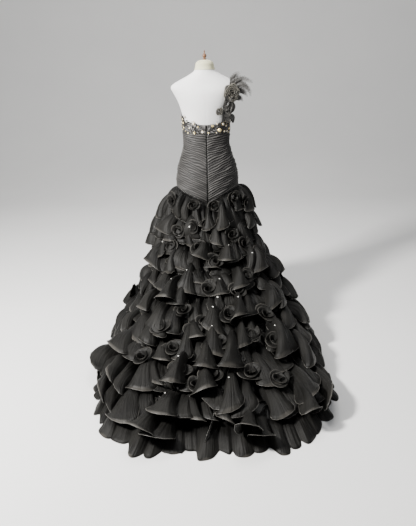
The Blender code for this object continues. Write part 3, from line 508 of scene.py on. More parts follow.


# In each look, rim is the colour of a painted highlight where the share passes the rim's start, and deepest
# is how dark the painted shade makes the lowest shares
clothLooks = {
    "ruchedChiffon": {
        "dark": (0.014, 0.0135, 0.013), "light": (0.024, 0.023, 0.022), "rim": (0.060, 0.0575, 0.055),
        "rimHighlightStart": 0.16, "cloud": 14.0, "threads": 1500.0, "threadDepth": 0.12 * mm, "slub": 0.5,
        "roughness": (0.50, 0.66), "sheen": 0.08, "sheenTint": (0.90, 0.87, 0.84), "specular": 0.28,
        "deepestShade": 0.05, "deepUntil": 0.34,
    },
    "skirtChiffon": {
        "dark": (0.006, 0.006, 0.0055), "light": (0.012, 0.0115, 0.011), "cloud": 8.0, "threads": 1500.0,
        "threadDepth": 0.12 * mm, "slub": 0.5, "roughness": (0.55, 0.70), "sheen": 0.05,
        "sheenRoughness": 0.45, "sheenTint": (0.90, 0.87, 0.84), "specular": 0.30,
    },
    "ruffleOrganza": {
        "dark": (0.004, 0.0038, 0.0034), "light": (0.009, 0.0086, 0.0076), "rim": (0.058, 0.054, 0.048),
        "rimHighlightStart": 0.92, "cloud": 10.0, "threads": 1100.0, "slub": 0.4, "roughness": (0.46, 0.62),
        "sheen": 0.02, "sheenRoughness": 0.30, "sheenTint": (0.95, 0.91, 0.84), "specular": 0.15,
        "deepestShade": 0.10, "creases": (85.0, 6.5 * mm),
    },
    "rosetteOrganza": {
        "dark": (0.030, 0.028, 0.024), "light": (0.075, 0.070, 0.060), "rim": (0.30, 0.283, 0.238),
        "rimHighlightStart": 0.82, "cloud": 26.0, "threads": 1100.0, "slub": 0.4, "roughness": (0.42, 0.58),
        "sheen": 0.40, "sheenTint": (1.0, 0.96, 0.88), "specular": 0.45, "sheer": (0.62, 0.88),
        "deepestShade": 0.20,
    },
    "strapOrganza": {
        "dark": (0.018, 0.017, 0.016), "light": (0.036, 0.034, 0.031), "rim": (0.07, 0.066, 0.06),
        "rimHighlightStart": 0.9, "cloud": 20.0, "threads": 1100.0, "slub": 0.4, "roughness": (0.42, 0.58),
        "sheen": 0.45, "sheenTint": (0.95, 0.91, 0.84), "specular": 0.50, "sheer": (0.86, 0.97),
    },
    "bandSatin": {
        "dark": (0.050, 0.048, 0.046), "light": (0.090, 0.086, 0.083), "rim": (0.19, 0.182, 0.175),
        "rimHighlightStart": 0.35, "cloud": 40.0, "threads": 1800.0, "threadDepth": 0.06 * mm, "slub": 0.3,
        "roughness": (0.30, 0.42), "sheen": 0.25, "sheenRoughness": 0.30, "sheenTint": (0.95, 0.92, 0.90),
        "specular": 0.60,
    },
    "blackLace": {
        "dark": (0.004, 0.004, 0.004), "light": (0.014, 0.013, 0.012), "cloud": 90.0, "threads": 700.0,
        "threadDepth": 0.30 * mm, "slub": 0.6, "roughness": (0.40, 0.60), "sheen": 0.06,
        "sheenTint": (0.95, 0.92, 0.90), "specular": 0.45,
    },
    "whiteJersey": {
        "dark": (0.65, 0.648, 0.642), "light": (0.70, 0.698, 0.692), "cloud": 6.0, "threads": 900.0,
        "threadDepth": 0.12 * mm, "roughness": (0.75, 0.88), "sheen": 0.15, "sheenRoughness": 0.50,
        "sheenTint": (1.0, 1.0, 1.0), "specular": 0.30,
    },
    "creamCap": {
        "dark": (0.47, 0.455, 0.30), "light": (0.55, 0.535, 0.37), "cloud": 30.0, "threads": 900.0,
        "roughness": (0.62, 0.76), "sheen": 0.15, "sheenRoughness": 0.50, "sheenTint": (1.0, 1.0, 0.9),
        "specular": 0.35,
    },
    # The rolled hems: a real hem of the black cloth, coloured lighter as a painted highlight along the
    # ruffles' rims
    "hemHighlight": {
        "dark": (0.034, 0.032, 0.028), "light": (0.066, 0.062, 0.055), "cloud": 30.0, "threads": 1600.0,
        "threadDepth": 0.08 * mm, "roughness": (0.34, 0.46), "sheen": 0.30, "sheenRoughness": 0.30,
        "sheenTint": (0.95, 0.92, 0.86), "specular": 0.60,
    },
    "zipTape": {
        "dark": (0.012, 0.012, 0.012), "light": (0.022, 0.021, 0.020), "cloud": 60.0, "threads": 1300.0,
        "roughness": (0.50, 0.62), "sheen": 0.15, "sheenRoughness": 0.45, "sheenTint": (1.0, 1.0, 1.0),
        "specular": 0.40,
    },
}
cloths = {name: clothMaterial(name, look) for name, look in clothLooks.items()}


def feedTone(tree, shader, tone, low, high, dark, light, roughness):
    # Colour from dark to light and roughness along its range, both as the tone rises
    colour = mixColours(tree, mapNode(tree, tone, low, high, 0, 1), dark, light)
    tree.links.new(colour, shader.inputs["Base Color"])
    tree.links.new(mapNode(tree, tone, 0.3, 0.7, *roughness), shader.inputs["Roughness"])


def woodMaterial():
    # Turned wood: rings drawn out along the grain, with fine pores
    made, tree, shader = newMaterial("turnedWood", Coat_Roughness=0.25, Specular_IOR_Level=0.5)
    coordinates = tree.nodes.new("ShaderNodeTexCoord")
    grain = noiseNode(tree, stretched(tree, coordinates.outputs["Object"], (1, 1, 0.12)), 420.0, 5.0)
    feedTone(tree, shader, grain, 0.35, 0.65, (0.07, 0.028, 0.012), (0.18, 0.085, 0.038), (0.30, 0.46))
    addBump(tree, shader, grain, 0.1 * mm)
    return made


def metalMaterial(name, dark, light, roughness, scale):
    # Cast or plated metal: slightly uneven colour and polish, with fine scratches
    made, tree, shader = newMaterial(name, Metallic=1.0)
    coordinates = tree.nodes.new("ShaderNodeTexCoord")
    cloud = noiseNode(tree, coordinates.outputs["Object"], scale, 5.0)
    fine = noiseNode(tree, coordinates.outputs["Object"], scale * 9, 2.0)
    feedTone(tree, shader, cloud, 0.35, 0.65, dark, light, roughness)
    addBump(tree, shader, fine, 0.03 * mm)
    return made


def gemMaterial(name, dark, light):
    # Foil-backed stones: two tones from stone to stone under a clear coat
    made, tree, shader = newMaterial(name, Coat_Roughness=0.02, Specular_IOR_Level=0.9, Coat_Weight=1.0)
    coordinates = tree.nodes.new("ShaderNodeTexCoord")
    tone = noiseNode(tree, coordinates.outputs["Object"], 130.0, 1.0)
    feedTone(tree, shader, tone, 0.4, 0.6, dark, light, (0.06, 0.12))
    return made


wood = woodMaterial()
steel = metalMaterial("standSteel", (0.05, 0.05, 0.052), (0.10, 0.10, 0.10), (0.32, 0.46), 40.0)
zipMetal = metalMaterial("zipMetal", (0.02, 0.02, 0.02), (0.045, 0.045, 0.043), (0.42, 0.58), 300.0)
goldSetting = metalMaterial("goldSetting", (0.50, 0.36, 0.14), (0.80, 0.62, 0.30), (0.18, 0.30), 400.0)
goldStone = gemMaterial("goldStone", (0.42, 0.34, 0.14), (0.86, 0.80, 0.50))
whiteStone = gemMaterial("whiteStone", (0.55, 0.54, 0.50), (0.92, 0.91, 0.88))
jetStone = gemMaterial("jetStone", (0.012, 0.012, 0.016), (0.05, 0.04, 0.05))
print("materials made")


# The dress form

formLook = {
    "rows": 110, "columns": 144, "seamDepth": 0.7 * mm, "seamWidth": 2.2 * mm, "usualRadius": 0.14,
    "seamDegrees": (0, 38, 90, 142, 180, 218, 270, 322),
}


def makeTorso():
    # The form's oval sections, with a shallow groove along each panel seam, closed to a pole at both ends
    height = np.linspace(torsoHeights[0], torsoHeights[-1], formLook["rows"])[::-1][:, None]
    turn = np.arange(formLook["columns"]) * fullTurn / formLook["columns"]
    turn = np.broadcast_to(turn, (len(height), len(turn)))
    points = torsoPoint(turn, np.broadcast_to(height, turn.shape))
    normals = torsoNormal(turn, np.clip(height, torsoHeights[0] + 0.004, torsoHeights[-1] - 0.004))
    groove = np.zeros(turn.shape)
    for degrees in formLook["seamDegrees"]:
        away = np.abs((turn - math.radians(degrees) + math.pi) % fullTurn - math.pi)
        groove += np.exp(-((away * formLook["usualRadius"] / formLook["seamWidth"]) ** 2))
    points = points - normals * (groove * formLook["seamDepth"])[..., None]
    top, foot = points[0], points[-1]
    ends = []
    for rim, shares in ((top, (0.0, 0.5)), (foot, (0.5, 0.0))):
        middle = rim.mean(0)
        ends.append(np.stack([middle + (rim - middle) * share for share in shares]))
    points = np.concatenate([ends[0], points, ends[1]])
    piece = gridPiece("formTorso", points, cloths["whiteJersey"], closed=True, weld=True)
    sewnIn(piece, "white_jersey", "form_torso")


capLook = {
    "columns": 64, "domeRows": 14, "domeFoot": 1.4985, "out": 1.4 * mm, "roundness": (0.75, 0.85),
    # The rolled edge under the dome: height, millimetres off the neck
    "edge": (
        (1.494, 1.4), (1.488, 1.4), (1.483, 1.5), (1.480, 2.2), (1.478, 2.0), (1.477, 0.8), (1.4768, -0.8),
    ),
}


def makeNeckCap():
    # Each row of the dome is its foot drawn in by a power of an angle's sine and raised by one of its cosine
    turn = np.arange(capLook["columns"]) * fullTurn / capLook["columns"]
    foot = offTorso(turn, capLook["domeFoot"], capLook["out"])
    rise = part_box("form_neck_cap")[1].z - foot[0, 2]
    drawnIn, raised = capLook["roundness"]
    rows = []
    for angle in np.linspace(0, math.pi / 2, capLook["domeRows"]):
        row = foot * (math.sin(angle) ** drawnIn, math.sin(angle) ** drawnIn, 1)
        row[:, 2] += rise * math.cos(angle) ** raised
        rows.append(row)
    rows += [offTorso(turn, height, out * mm) for height, out in capLook["edge"]]
    cap = gridPiece("neckCap", np.array(rows), cloths["creamCap"], closed=True, weld=True)
    sewnIn(cap, "cream_cap", "form_neck_cap")


# The finial from its tip down: radius in millimetres, share of its height
finialTable = np.array([
    (0, 1.00), (1.8, 0.99), (2.6, 0.95), (3.2, 0.90), (4.2, 0.86), (3.6, 0.80), (3.0, 0.74), (3.8, 0.68),
    (5.6, 0.62), (8.5, 0.56), (10.4, 0.50), (11.4, 0.44), (11.5, 0.38), (10.4, 0.31), (8.5, 0.25),
    (6.6, 0.20), (6.0, 0.16), (7.4, 0.13), (9.8, 0.115), (11.0, 0.09), (11.0, 0.05), (10.6, 0.01),
    (10.2, 0), (0, 0),
])


def makeFinial():
    low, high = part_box("form_finial")
    profile = finialTable * (mm, high.z - low.z) + (0, low.z)
    sewnIn(turnedPiece("finial", profile, 40, wood), "turned_wood", "form_finial")


def paintNodes(finish, *nodes):
    # Solids that show as they are keep their own shape and get only their finish
    for node in nodes:
        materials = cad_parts[node].data.materials
        materials.clear()
        materials.append(finish)


makeTorso()
makeNeckCap()
makeFinial()
paintNodes(steel, "stand_pole", "stand_foot")
print("dress form made")


# The bodice: ruched chiffon in three panels

bodiceLook = {
    "pleats": 29, "rowsPerPleat": 8, "clearance": 3.4 * mm, "depth": 7.0 * mm, "wander": 0.45,
    "step": 5.6 * mm, "wall": 0.8 * mm, "chevron": 0.9, "chevronReach": 22 * mm, "backRadius": 0.11,
}
# The panels: ending of the node and of the piece, first and last share of the way round
panels = (
    ("back_left", "BackLeft", 0.0, 0.25), ("front", "Front", 0.25, 0.75),
    ("back_right", "BackRight", 0.75, 1.0),
)
besideZip = 1.9 * mm
besideSlider = 4.0 * mm
seamGap = 0.3 * mm


def panelGrid(start, end, top, foot, rows, step, atZip):
    # Turns evenly spaced from seam to seam, the edges moved in by their gaps, and heights from top to foot
    gaps = (atZip if start == 0 else seamGap, atZip if end == 1 else seamGap)
    start, end = start * fullTurn, end * fullTurn
    length = np.linalg.norm(np.diff(torsoPoint(np.linspace(start, end, 60), 1.0), axis=0), axis=1).sum()
    columns = int(round(length / step)) + 1
    share = np.linspace(0, 1, columns)[None, :]
    v = np.linspace(0, 1, rows)[:, None]
    turn = np.broadcast_to(start + (end - start) * share, (rows, columns))
    height = top(turn) + (foot(turn) - top(turn)) * v
    pace = np.linalg.norm(torsoPoint(turn + 0.01, height) - torsoPoint(turn - 0.01, height), axis=-1) / 0.02
    shift = (gaps[0] * (1 - share) ** 6 - gaps[1] * share**6) / pace
    return turn + shift, height, v


def makeBodice():
    # Folds stand off the form by a rounded, leaning tooth of the pleat's phase; each fold swells and fades
    # along its length, and its line wanders, and dips beside the zip
    rows = bodiceLook["pleats"] * bodiceLook["rowsPerPleat"] + 1
    for node, label, start, end in panels:
        turn, height, v = panelGrid(
            start, end, lambda t: neckline(t)[0] - 0.6 * mm, lambda t: waistSeam(t) + 0.6 * mm, rows,
            bodiceLook["step"], besideZip,
        )
        fromZip = np.abs((turn + math.pi) % fullTurn - math.pi) * bodiceLook["backRadius"]
        chevron = bodiceLook["chevron"] * np.exp(-fromZip / bodiceLook["chevronReach"])
        inside = np.sin(math.pi * v) ** 0.35
        wander = bodiceLook["wander"] * (drift(2.3 * turn, 9 * v, 1.3) + 0.5 * drift(6.1 * turn, 21 * v, 4.1))
        phase = v * bodiceLook["pleats"] + (wander - chevron) * inside
        fold = np.floor(phase)
        within = phase - fold
        tooth = np.sin(math.pi * within**1.6) ** 0.8
        swell = 0.66 + 0.22 * np.sin(turn * (3 + 1.6 * np.sin(2.4 * fold)) + 2.4 * fold)
        swell = swell + 0.12 * np.sin(9 * turn + 5.3 * fold)
        fine = 0.10 * np.sin(2 * math.pi * (3 * phase + 0.6 * drift(8 * turn, 30 * v, 2.0)))
        flatEnds = np.minimum(1, np.minimum(v, 1 - v) * 60)
        relief = bodiceLook["depth"] * (tooth * swell + fine * tooth) * flatEnds
        points = offTorso(turn, height, bodiceLook["clearance"] + relief)
        # The share gives painted shade in the grooves between the folds and a painted highlight on their
        # crests
        clothPiece(
            "bodice_" + label, points, cloths["ruchedChiffon"], "ruched_chiffon", "gathered", ["formTorso"],
            replaced=["bodice_" + node], wall=bodiceLook["wall"], share=tooth * swell,
        )


makeBodice()
print("bodice made")


# The skirt's three panels, under the ruffles

skirtLook = {
    "rows": 60, "columns": 60, "foldDepth": 5 * mm, "folds": 38, "wall": 0.8 * mm, "under": 0.6 * mm,
}


def makeSkirtPanels():
    # The skirt's surface with soft upright folds pressed inwards, deeper towards the hem
    for node, label, start, end in panels:
        columns = skirtLook["columns"] * (2 if node == "front" else 1)
        ring = np.linspace(0, 10, skirtLook["rows"])[:, None]
        turn = np.linspace(start * fullTurn + 0.002, end * fullTurn - 0.002, columns)[None, :]
        ring, turn = np.broadcast_arrays(ring, turn)
        fold = 0.5 + 0.5 * np.sin(skirtLook["folds"] * turn + 1.5 * drift(3 * turn, ring, 2.0))
        deepening = skirtLook["foldDepth"] * fold * np.clip(ring / 4, 0, 1) * np.clip((10 - ring) * 2, 0, 1)
        depth = skirtLook["under"] + deepening
        points = onSkirt(ring, turn) - skirtNormal(ring, turn) * depth[..., None]
        points[..., 2] = np.maximum(points[..., 2], 1.5 * mm)
        clothPiece(
            "skirt_" + label, points, cloths["skirtChiffon"], "skirt_chiffon", "hung", ["bodice_Front"],
            replaced=["skirt_" + node], wall=skirtLook["wall"],
        )


makeSkirtPanels()
print("skirt made")


# The ruffles: thirteen tiers of circular-cut organza, each with a narrower second layer

ruffleLook = {
    "columnsPerLobe": 22, "overlap": 1.24, "sweep": 2.05, "rise": 1.16, "fall": (0.46, 0.26), "flip": 0.24,
    "lobeDrop": 0.72, "hitch": 0.58, "lean": 1.7, "usualStand": 92, "lowestSweep": 0.55, "lowestCalm": 0.35,
    "ripple": 6 * mm, "gathers": 4.2 * mm, "wall": 0.7 * mm, "hemRadius": 1.1 * mm,
    # Name ending, share of the width, phase shift, share of the fullness, rows, off the skirt, tone: a factor
    # on the share that leaves the under layer without the painted highlight and with a little more painted
    # shade
    "layers": (("", 1.0, 0.0, 1.0, 14, 2.6 * mm, 1.0), ("_Under", 0.86, 2.7, 0.66, 9, 1.4 * mm, 0.85)),
}


def meander(phase, sweep):
    # The curve whose heading swings by the sweep's sine. For each row's sweep it gives how far the curve
    # runs ahead of its phase, and its height from 0 at the neck to 1 at the crest, where the phase is 0.
    fine = np.linspace(0, fullTurn, 361)
    ahead, height = [], []
    for row, swing in zip(np.broadcast_to(phase, (len(sweep), phase.shape[1])), sweep):
        heading = swing * np.sin(0.5 * (fine[1:] + fine[:-1]))
        forward = np.append(0, np.cumsum(np.cos(heading)))
        upward = np.append(0, np.cumsum(np.sin(heading)))
        place = (row + math.pi) % fullTurn
        ahead.append(np.interp(place, fine, forward / forward[-1] * fullTurn) - place)
        height.append(np.interp(place, fine, upward / max(upward.max(), 1e-9)))
    return np.array(ahead), np.array(height)


def rufflePhase(number, waves, turn):
    return (
        waves * turn + 2.4 * number + 0.55 * np.sin(2 * turn + 1.3 * number)
        + 0.30 * np.sin(5 * turn + 2.1 * number)
    )


def lobePhase(number, lobes, turn):
    return (
        lobes * turn + 1.3 * number * number + 0.7 * np.sin(2 * turn + 2.9 * number)
        + 0.5 * np.sin(3 * turn + 0.7 * number) + 0.28 * np.sin(7 * turn + 1.9 * number)
    )


def ruffleSeam(number, turn):
    if number == len(ruffleTable):
        return np.full(np.shape(turn), lastSeam)
    tier = ruffleTable[number]
    return tier[0] + tier[3] * np.sin(3 * turn + 0.55 * number + 1.1)


def ruffleGrid(number, widthShare, phaseShift, fullness, rows, seat, tone):
    # The strip is straight at its seam and swings into loops towards its rim, as a meander whose sweep grows
    # down the strip. Down a crest its slope off the skirt falls evenly from the rise to minus the fall, so
    # that it hangs as a rounded tongue whose rim flips out again; a neck lies back on the skirt. Each pair of
    # lobes is hitched up or down at the seam and leans to one side. The lowest tier lies flat at its rim.
    _, waves, standing, _, lobes = ruffleTable[number]
    lowest = number == len(ruffleTable) - 1
    calm = ruffleLook["lowestCalm"] if lowest else 1
    columns = lobes * ruffleLook["columnsPerLobe"]
    turn = (np.arange(columns) * fullTurn / columns)[None, :]
    share = np.linspace(0, 1, rows)[:, None]
    wave = 0.5 + 0.5 * np.cos(rufflePhase(number, waves, turn))
    phase = lobePhase(number, lobes, turn) + phaseShift
    pace = (lobePhase(number, lobes, turn + 0.01) + phaseShift - phase) / 0.01
    sweep = ruffleLook["sweep"] * (ruffleLook["lowestSweep"] if lowest else 1)
    ahead, lobe = meander(phase, sweep * share[:, 0] ** 0.7 + 0.02)
    uneven = np.sin(0.5 * phase + 1.7 * number + 2.0 * np.sin(2 * turn + number))
    hitch = ruffleLook["hitch"] * np.sin(0.5 * phase + 2.2 * number + 1.4 * np.sin(3 * turn + number))
    hitch = hitch * (number > 0 and not lowest)
    seam, below = ruffleSeam(number, turn), ruffleSeam(number + 1, turn)
    ringLength = np.linalg.norm(onSkirt(below, turn) - onSkirt(seam, turn), axis=-1) / (below - seam)
    hang = 0.25 * (2 * lobe - 1) + 0.75 * np.cos(phase)
    width = (below - seam) * ringLength * ruffleLook["overlap"] * widthShare
    width = width * (1 + ruffleLook["lobeDrop"] * hang * calm + 0.26 * uneven * lobe)
    full = fullness * (0.86 + 0.24 * wave + 0.20 * uneven) * standing / ruffleLook["usualStand"]
    least, swing = ruffleLook["fall"]
    fall = least + swing * np.sin(0.7 * phase + 2.6 * number + np.sin(5 * turn))
    slope = full * lobe * (ruffleLook["rise"] - (ruffleLook["rise"] + fall) * share**0.9) + 0.05
    if not lowest:
        slope = slope + ruffleLook["flip"] * np.clip((share - 0.80) / 0.20, 0, 1) ** 1.5 * (0.4 + 0.6 * lobe)
    stride = (width / (rows - 1))[1:]
    middle = 0.5 * (slope[1:] + slope[:-1])
    start = np.zeros((1, columns))
    along = np.concatenate([start, np.cumsum(stride * np.cos(middle), 0)])
    out = np.concatenate([start, np.cumsum(stride * np.sin(middle), 0)]) + seat
    ripple = np.sin(3.3 * phase + 1.9 * number + 1.2 * np.sin(4 * turn)) * share**2.2
    gathers = np.sin(5.3 * phase + 1.5 * np.sin(phase)) * np.sqrt(share) * (1 - 0.5 * share)
    out = out + ruffleLook["ripple"] * ripple * (0.3 + 0.7 * lobe) + ruffleLook["gathers"] * gathers * lobe
    along = along + 0.6 * ruffleLook["ripple"] * ripple
    if lowest:
        out = out * (1 - 0.97 * share**2)
    lean = ruffleLook["lean"] * calm * share**2 * uneven * lobe
    shift = (ahead * (0.9 + 0.1 * uneven) + lean) / pace
    ring = np.clip(seam + hitch * (1 - 0.4 * share) + along / ringLength, 0, len(skirtGrid) - 1)
    points = onSkirt(ring, turn + shift) + skirtNormal(ring, turn + shift) * out[..., None]
    points[..., 2] = np.maximum(points[..., 2], 1.2 * mm)
    # The share given back colours the cloth: painted shade near the seam and at the necks, where the lobe is
    # low, and a painted highlight at the crests' rims
    return points, share * (0.40 + 0.60 * lobe) * tone


def rolledHem(name, rim, outward, radius, finish):
    # A thin tube whose middle follows a closed rim, in four sides
    along = unit(np.roll(rim, -1, axis=0) - np.roll(rim, 1, axis=0))
    side = unit(np.cross(along, outward))
    over = np.cross(side, along)
    angle = np.arange(4) * math.pi / 2
    ringed = rim[None] + radius * (np.cos(angle)[:, None, None] * side + np.sin(angle)[:, None, None] * over)
    index = np.arange(4 * len(rim)).reshape(4, len(rim))
    below, beside = np.roll(index, -1, axis=0), np.roll(index, -1, axis=1)
    faces = np.stack([index, beside, np.roll(below, -1, axis=1), below], -1).reshape(-1, 4)
    mesh = bpy.data.meshes.new(name)
    mesh.from_pydata(ringed.reshape(-1, 3).tolist(), [], faces.tolist())
    mesh.shade_smooth()
    sewnIn(finished(name, mesh, finish), "organza")


tierGrids = []


def makeRuffles():
    for number in range(len(ruffleTable)):
        for ending, *layer in ruffleLook["layers"]:
            points, share = ruffleGrid(number, *layer)
            if not ending:
                tierGrids.append(points)
            name = f"ruffle{number + 1:02d}{ending}"
            clothPiece(
                name, points, cloths["ruffleOrganza"], "organza", "gathered", ["skirt_Front"], closed=True,
                replaced=[] if ending else [f"ruffle_{number + 1:02d}"], share=share, offset=0.0,
                wall=ruffleLook["wall"],
            )
            down = unit(points[-1] - points[-2])
            # the hem's lighter cloth is a painted highlight along each rim
            rolledHem(name + "_Hem", points[-1], down, ruffleLook["hemRadius"], cloths["hemHighlight"])


def rolledStrip(centre, facing, radius, depth, angle, ripple, seat, roll):
    # A strip wound into a spiral: its foot keeps within a share of the spiral's radius and its rim flares out
    # to the radius, waved into petals by the ripple. It is tallest at the heart and its rim sinks back.
    across, up, outward = framesOn(facing).T
    wound = np.linspace(0, 1, angle.shape[1])[None, :]
    share = np.linspace(1, 0, roll["rows"])[:, None]
    spreadWave, heightWave = roll["waves"]
    reach = roll["heart"] + (radius - roll["heart"]) * wound ** roll["winding"]
    spread = reach * (roll["foot"] + (1 - roll["foot"]) * share ** roll["flare"])
    spread = spread * (1 + spreadWave * ripple * share**2)
    tall = depth * (1 - roll["lowered"][0] * wound ** roll["lowered"][1])
    tall = tall * (share - roll["sunk"][0] * share ** roll["sunk"][1]) * (1 + heightWave * ripple * share)
    spokes = np.cos(angle)[..., None] * across + np.sin(angle)[..., None] * up
    return centre + spokes * spread[..., None] + outward * (seat + tall)[..., None], share


swirlLook = {
    # Where a tier's end is rolled up on itself: skirt ring, degrees from the centre back, radius, turns,
    # petals in a turn
    "swirls": (
        (0.85, 62, 0.052, 2.3, 2.3), (1.15, -66, 0.050, 2.1, 2.6), (1.75, 22, 0.046, 2.2, 2.2),
        (2.30, -30, 0.050, 2.3, 2.4), (3.25, 48, 0.056, 2.4, 2.2), (3.60, -6, 0.054, 2.2, 2.5),
        (4.05, -58, 0.066, 2.5, 2.2), (4.60, 20, 0.050, 2.1, 2.5), (5.30, -24, 0.052, 2.3, 2.3),
        (5.60, 36, 0.056, 2.2, 2.6), (6.40, 5, 0.050, 2.1, 2.4), (6.60, -40, 0.062, 2.4, 2.2),
        (7.50, 24, 0.058, 2.3, 2.4), (7.80, -14, 0.056, 2.2, 2.5), (8.70, -32, 0.060, 2.3, 2.3),
        (8.60, 9, 0.054, 2.1, 2.6), (2.60, 118, 0.052, 2.2, 2.3), (2.10, -122, 0.054, 2.3, 2.4),
        (4.40, 150, 0.058, 2.2, 2.3), (5.60, -158, 0.060, 2.4, 2.2), (6.90, 96, 0.060, 2.3, 2.4),
        (6.30, -104, 0.062, 2.2, 2.5), (0.42, -12, 0.040, 2.0, 2.5), (0.50, 24, 0.038, 2.1, 2.2),
        (0.38, -44, 0.042, 2.1, 2.4), (1.50, -20, 0.042, 2.2, 2.3), (2.20, 42, 0.048, 2.1, 2.5),
        (1.45, 4, 0.044, 2.2, 2.4), (2.85, 12, 0.050, 2.2, 2.6), (3.10, -44, 0.052, 2.3, 2.2),
        (5.00, 2, 0.056, 2.3, 2.5), (4.75, -36, 0.052, 2.2, 2.3), (6.05, 22, 0.050, 2.1, 2.2),
        (7.10, -26, 0.056, 2.2, 2.6), (8.05, 40, 0.060, 2.3, 2.3), (6.20, -14, 0.058, 2.3, 2.3),
        (6.80, 13, 0.060, 2.2, 2.5), (7.20, -4, 0.064, 2.3, 2.3), (8.20, 18, 0.062, 2.2, 2.6),
        (8.30, -20, 0.064, 2.3, 2.4), (7.55, -38, 0.064, 2.2, 2.3), (6.90, 36, 0.060, 2.3, 2.5),
        (8.35, 1, 0.060, 2.2, 2.2),
    ),
    "seat": (34 * mm, 4.2 * mm), "depth": 38 * mm, "columnsPerTurn": 32, "rows": 8, "heart": 10 * mm,
    "winding": 0.8, "foot": 0.38, "flare": 0.7, "waves": (0.16, 0.14), "lowered": (0.50, 1),
    "sunk": (0.34, 4),
}


def makeSwirls():
    for number, (ring, degrees, radius, turns, petals) in enumerate(swirlLook["swirls"]):
        place = math.radians(degrees)
        facing = unit(skirtNormal(ring, place) + np.array((0, 0, -0.10)))
        wound = np.linspace(0, 1, int(swirlLook["columnsPerTurn"] * turns))[None, :]
        angle = fullTurn * turns * wound + 1.7 * number
        points, share = rolledStrip(
            onSkirt(ring, place), facing, radius, swirlLook["depth"], angle, np.sin(petals * angle + number),
            swirlLook["seat"][0] + swirlLook["seat"][1] * ring, swirlLook,
        )
        points[..., 2] = np.maximum(points[..., 2], 2 * mm)
        # The share gives a painted highlight along the strip's rim and painted shade towards its foot
        clothPiece(
            f"swirl{number + 1:02d}", points, cloths["ruffleOrganza"], "organza", "gathered", ["skirt_Front"],
            wall=ruffleLook["wall"], share=np.broadcast_to(0.25 + 0.75 * share, points.shape[:2]),
        )


makeRuffles()
makeSwirls()
print("ruffles made")


# The jewelled band's satin; its lace and stones come last

bandLook = {"rows": 22, "step": 4 * mm, "clearance": 3.9 * mm, "wall": 1.0 * mm, "drape": 2.2 * mm}


def makeBand():
    # Satin laid in slanting folds round the neckline, between the band's foot and its top
    for node, label, start, end in panels:
        turn, height, v = panelGrid(
            start, end, lambda t: neckline(t)[1], lambda t: neckline(t)[0], bandLook["rows"],
            bandLook["step"], besideSlider,
        )
        slant = np.sin(15 * turn + 8 * v * np.sign(np.sin(turn)) + 0.8 * drift(5 * turn, 4 * v, 1.0))
        folded = (0.5 + 0.5 * slant) ** 0.7 * np.minimum(1, 6 * np.minimum(v, 1 - v)) ** 0.5
        points = offTorso(turn, height, bandLook["clearance"] + bandLook["drape"] * folded)
        # The share gives a painted highlight on the crests of the folds
        clothPiece(
            "band_" + label, points, cloths["bandSatin"], "jewelled_lace", "stretched", ["formTorso"],
            replaced=["band_" + node], wall=bandLook["wall"], share=folded,
        )


makeBand()
print("band made")


# The strap, the rosettes and the fronds on the wearer's right shoulder

strapLook = {
    "rows": 72, "columns": 41, "clearance": 4.6 * mm, "gathers": 4.5, "depth": 6 * mm, "frill": 4 * mm,
    "wall": 0.7 * mm,
}


def makeStrap():
    # Folds run along the strap as the rounded ridges of a wandering sine; the two edges stand up in a frill
    place = np.linspace(0, len(strapTable) - 1, strapLook["rows"])[:, None]
    share = np.linspace(0, 1, strapLook["columns"])[None, :]
    gathered = strapLook["gathers"] * share + 0.5 * drift(1.3 * place, 2 * share, 3.0)
    folds = np.abs(np.sin(math.pi * gathered)) ** 0.8
    edge = np.abs(2 * share - 1) ** 6
    curl = 0.5 + 0.5 * np.sin(3.7 * place + 5 * share + 0.9 * np.sin(1.9 * place))
    frill = strapLook["frill"] * edge * curl
    spread = share + (share - 0.5) * (0.12 + 0.14 * np.sin(2.9 * place + 1.0))
    points = strapPoint(place, spread, strapLook["clearance"] + strapLook["depth"] * folds + frill)
    # The share gives a painted highlight on the fold ridges and the frilled edges
    clothPiece(
        "strap", points, cloths["strapOrganza"], "organza", "gathered", ["formTorso"],
        replaced=["shoulder_strap"], wall=strapLook["wall"], share=np.maximum(edge, 0.9 * folds),
    )


rosetteLook = {
    # name: node, x, height, radius, depth, turns of the roll, petals in a turn, off the form, cloth
    "rosetteLarge": ("rosette_large", -0.139, 1.358, 0.052, 0.036, 5.0, 4.6, 9 * mm, "rosetteOrganza"),
    "rosetteMedium": ("rosette_medium", -0.122, 1.268, 0.038, 0.030, 3.6, 3.4, 8 * mm, "strapOrganza"),
    "rosetteSmall": ("rosette_small", -0.072, 1.256, 0.024, 0.016, 3.2, 3.2, 3 * mm, "rosetteOrganza"),
}
rosetteRoll = {
    "columnsPerTurn": 40, "rows": 12, "heart": 4 * mm, "winding": 0.9, "foot": 0.40, "flare": 0.8,
    "waves": (0.08, 0.09), "lowered": (0.62, 1.3), "sunk": (0.30, 5), "wall": 0.5 * mm,
}


def rosettePlace(x, height):
    # The point of the form at an x on the wearer's right, and a facing turned a little to the back
    turn = -math.asin(min(-x / float(torsoPoint(math.pi / 2, height)[0]), 1))
    return torsoPoint(turn, height), unit(torsoNormal(turn, height) + np.array((0, 1.1, 0)))


def makeRosettes():
    for name, (node, x, height, radius, depth, turns, petals, seat, cloth) in rosetteLook.items():
        centre, facing = rosettePlace(x, height)
        angle = fullTurn * turns * np.linspace(0, 1, int(rosetteRoll["columnsPerTurn"] * turns))[None, :]
        ripple = np.sin(petals * angle + 1.5 * np.sin(0.7 * angle))
        points, share = rolledStrip(centre, facing, radius, depth, angle, ripple, seat, rosetteRoll)
        # The share gives a painted highlight along the petals' rims and, in the rosette organza, painted
        # shade towards the foot
        clothPiece(
            name, points, cloths[cloth], "organza", "gathered", ["strap"], replaced=[node],
            wall=rosetteRoll["wall"], share=np.broadcast_to(share, points.shape[:2]),
        )


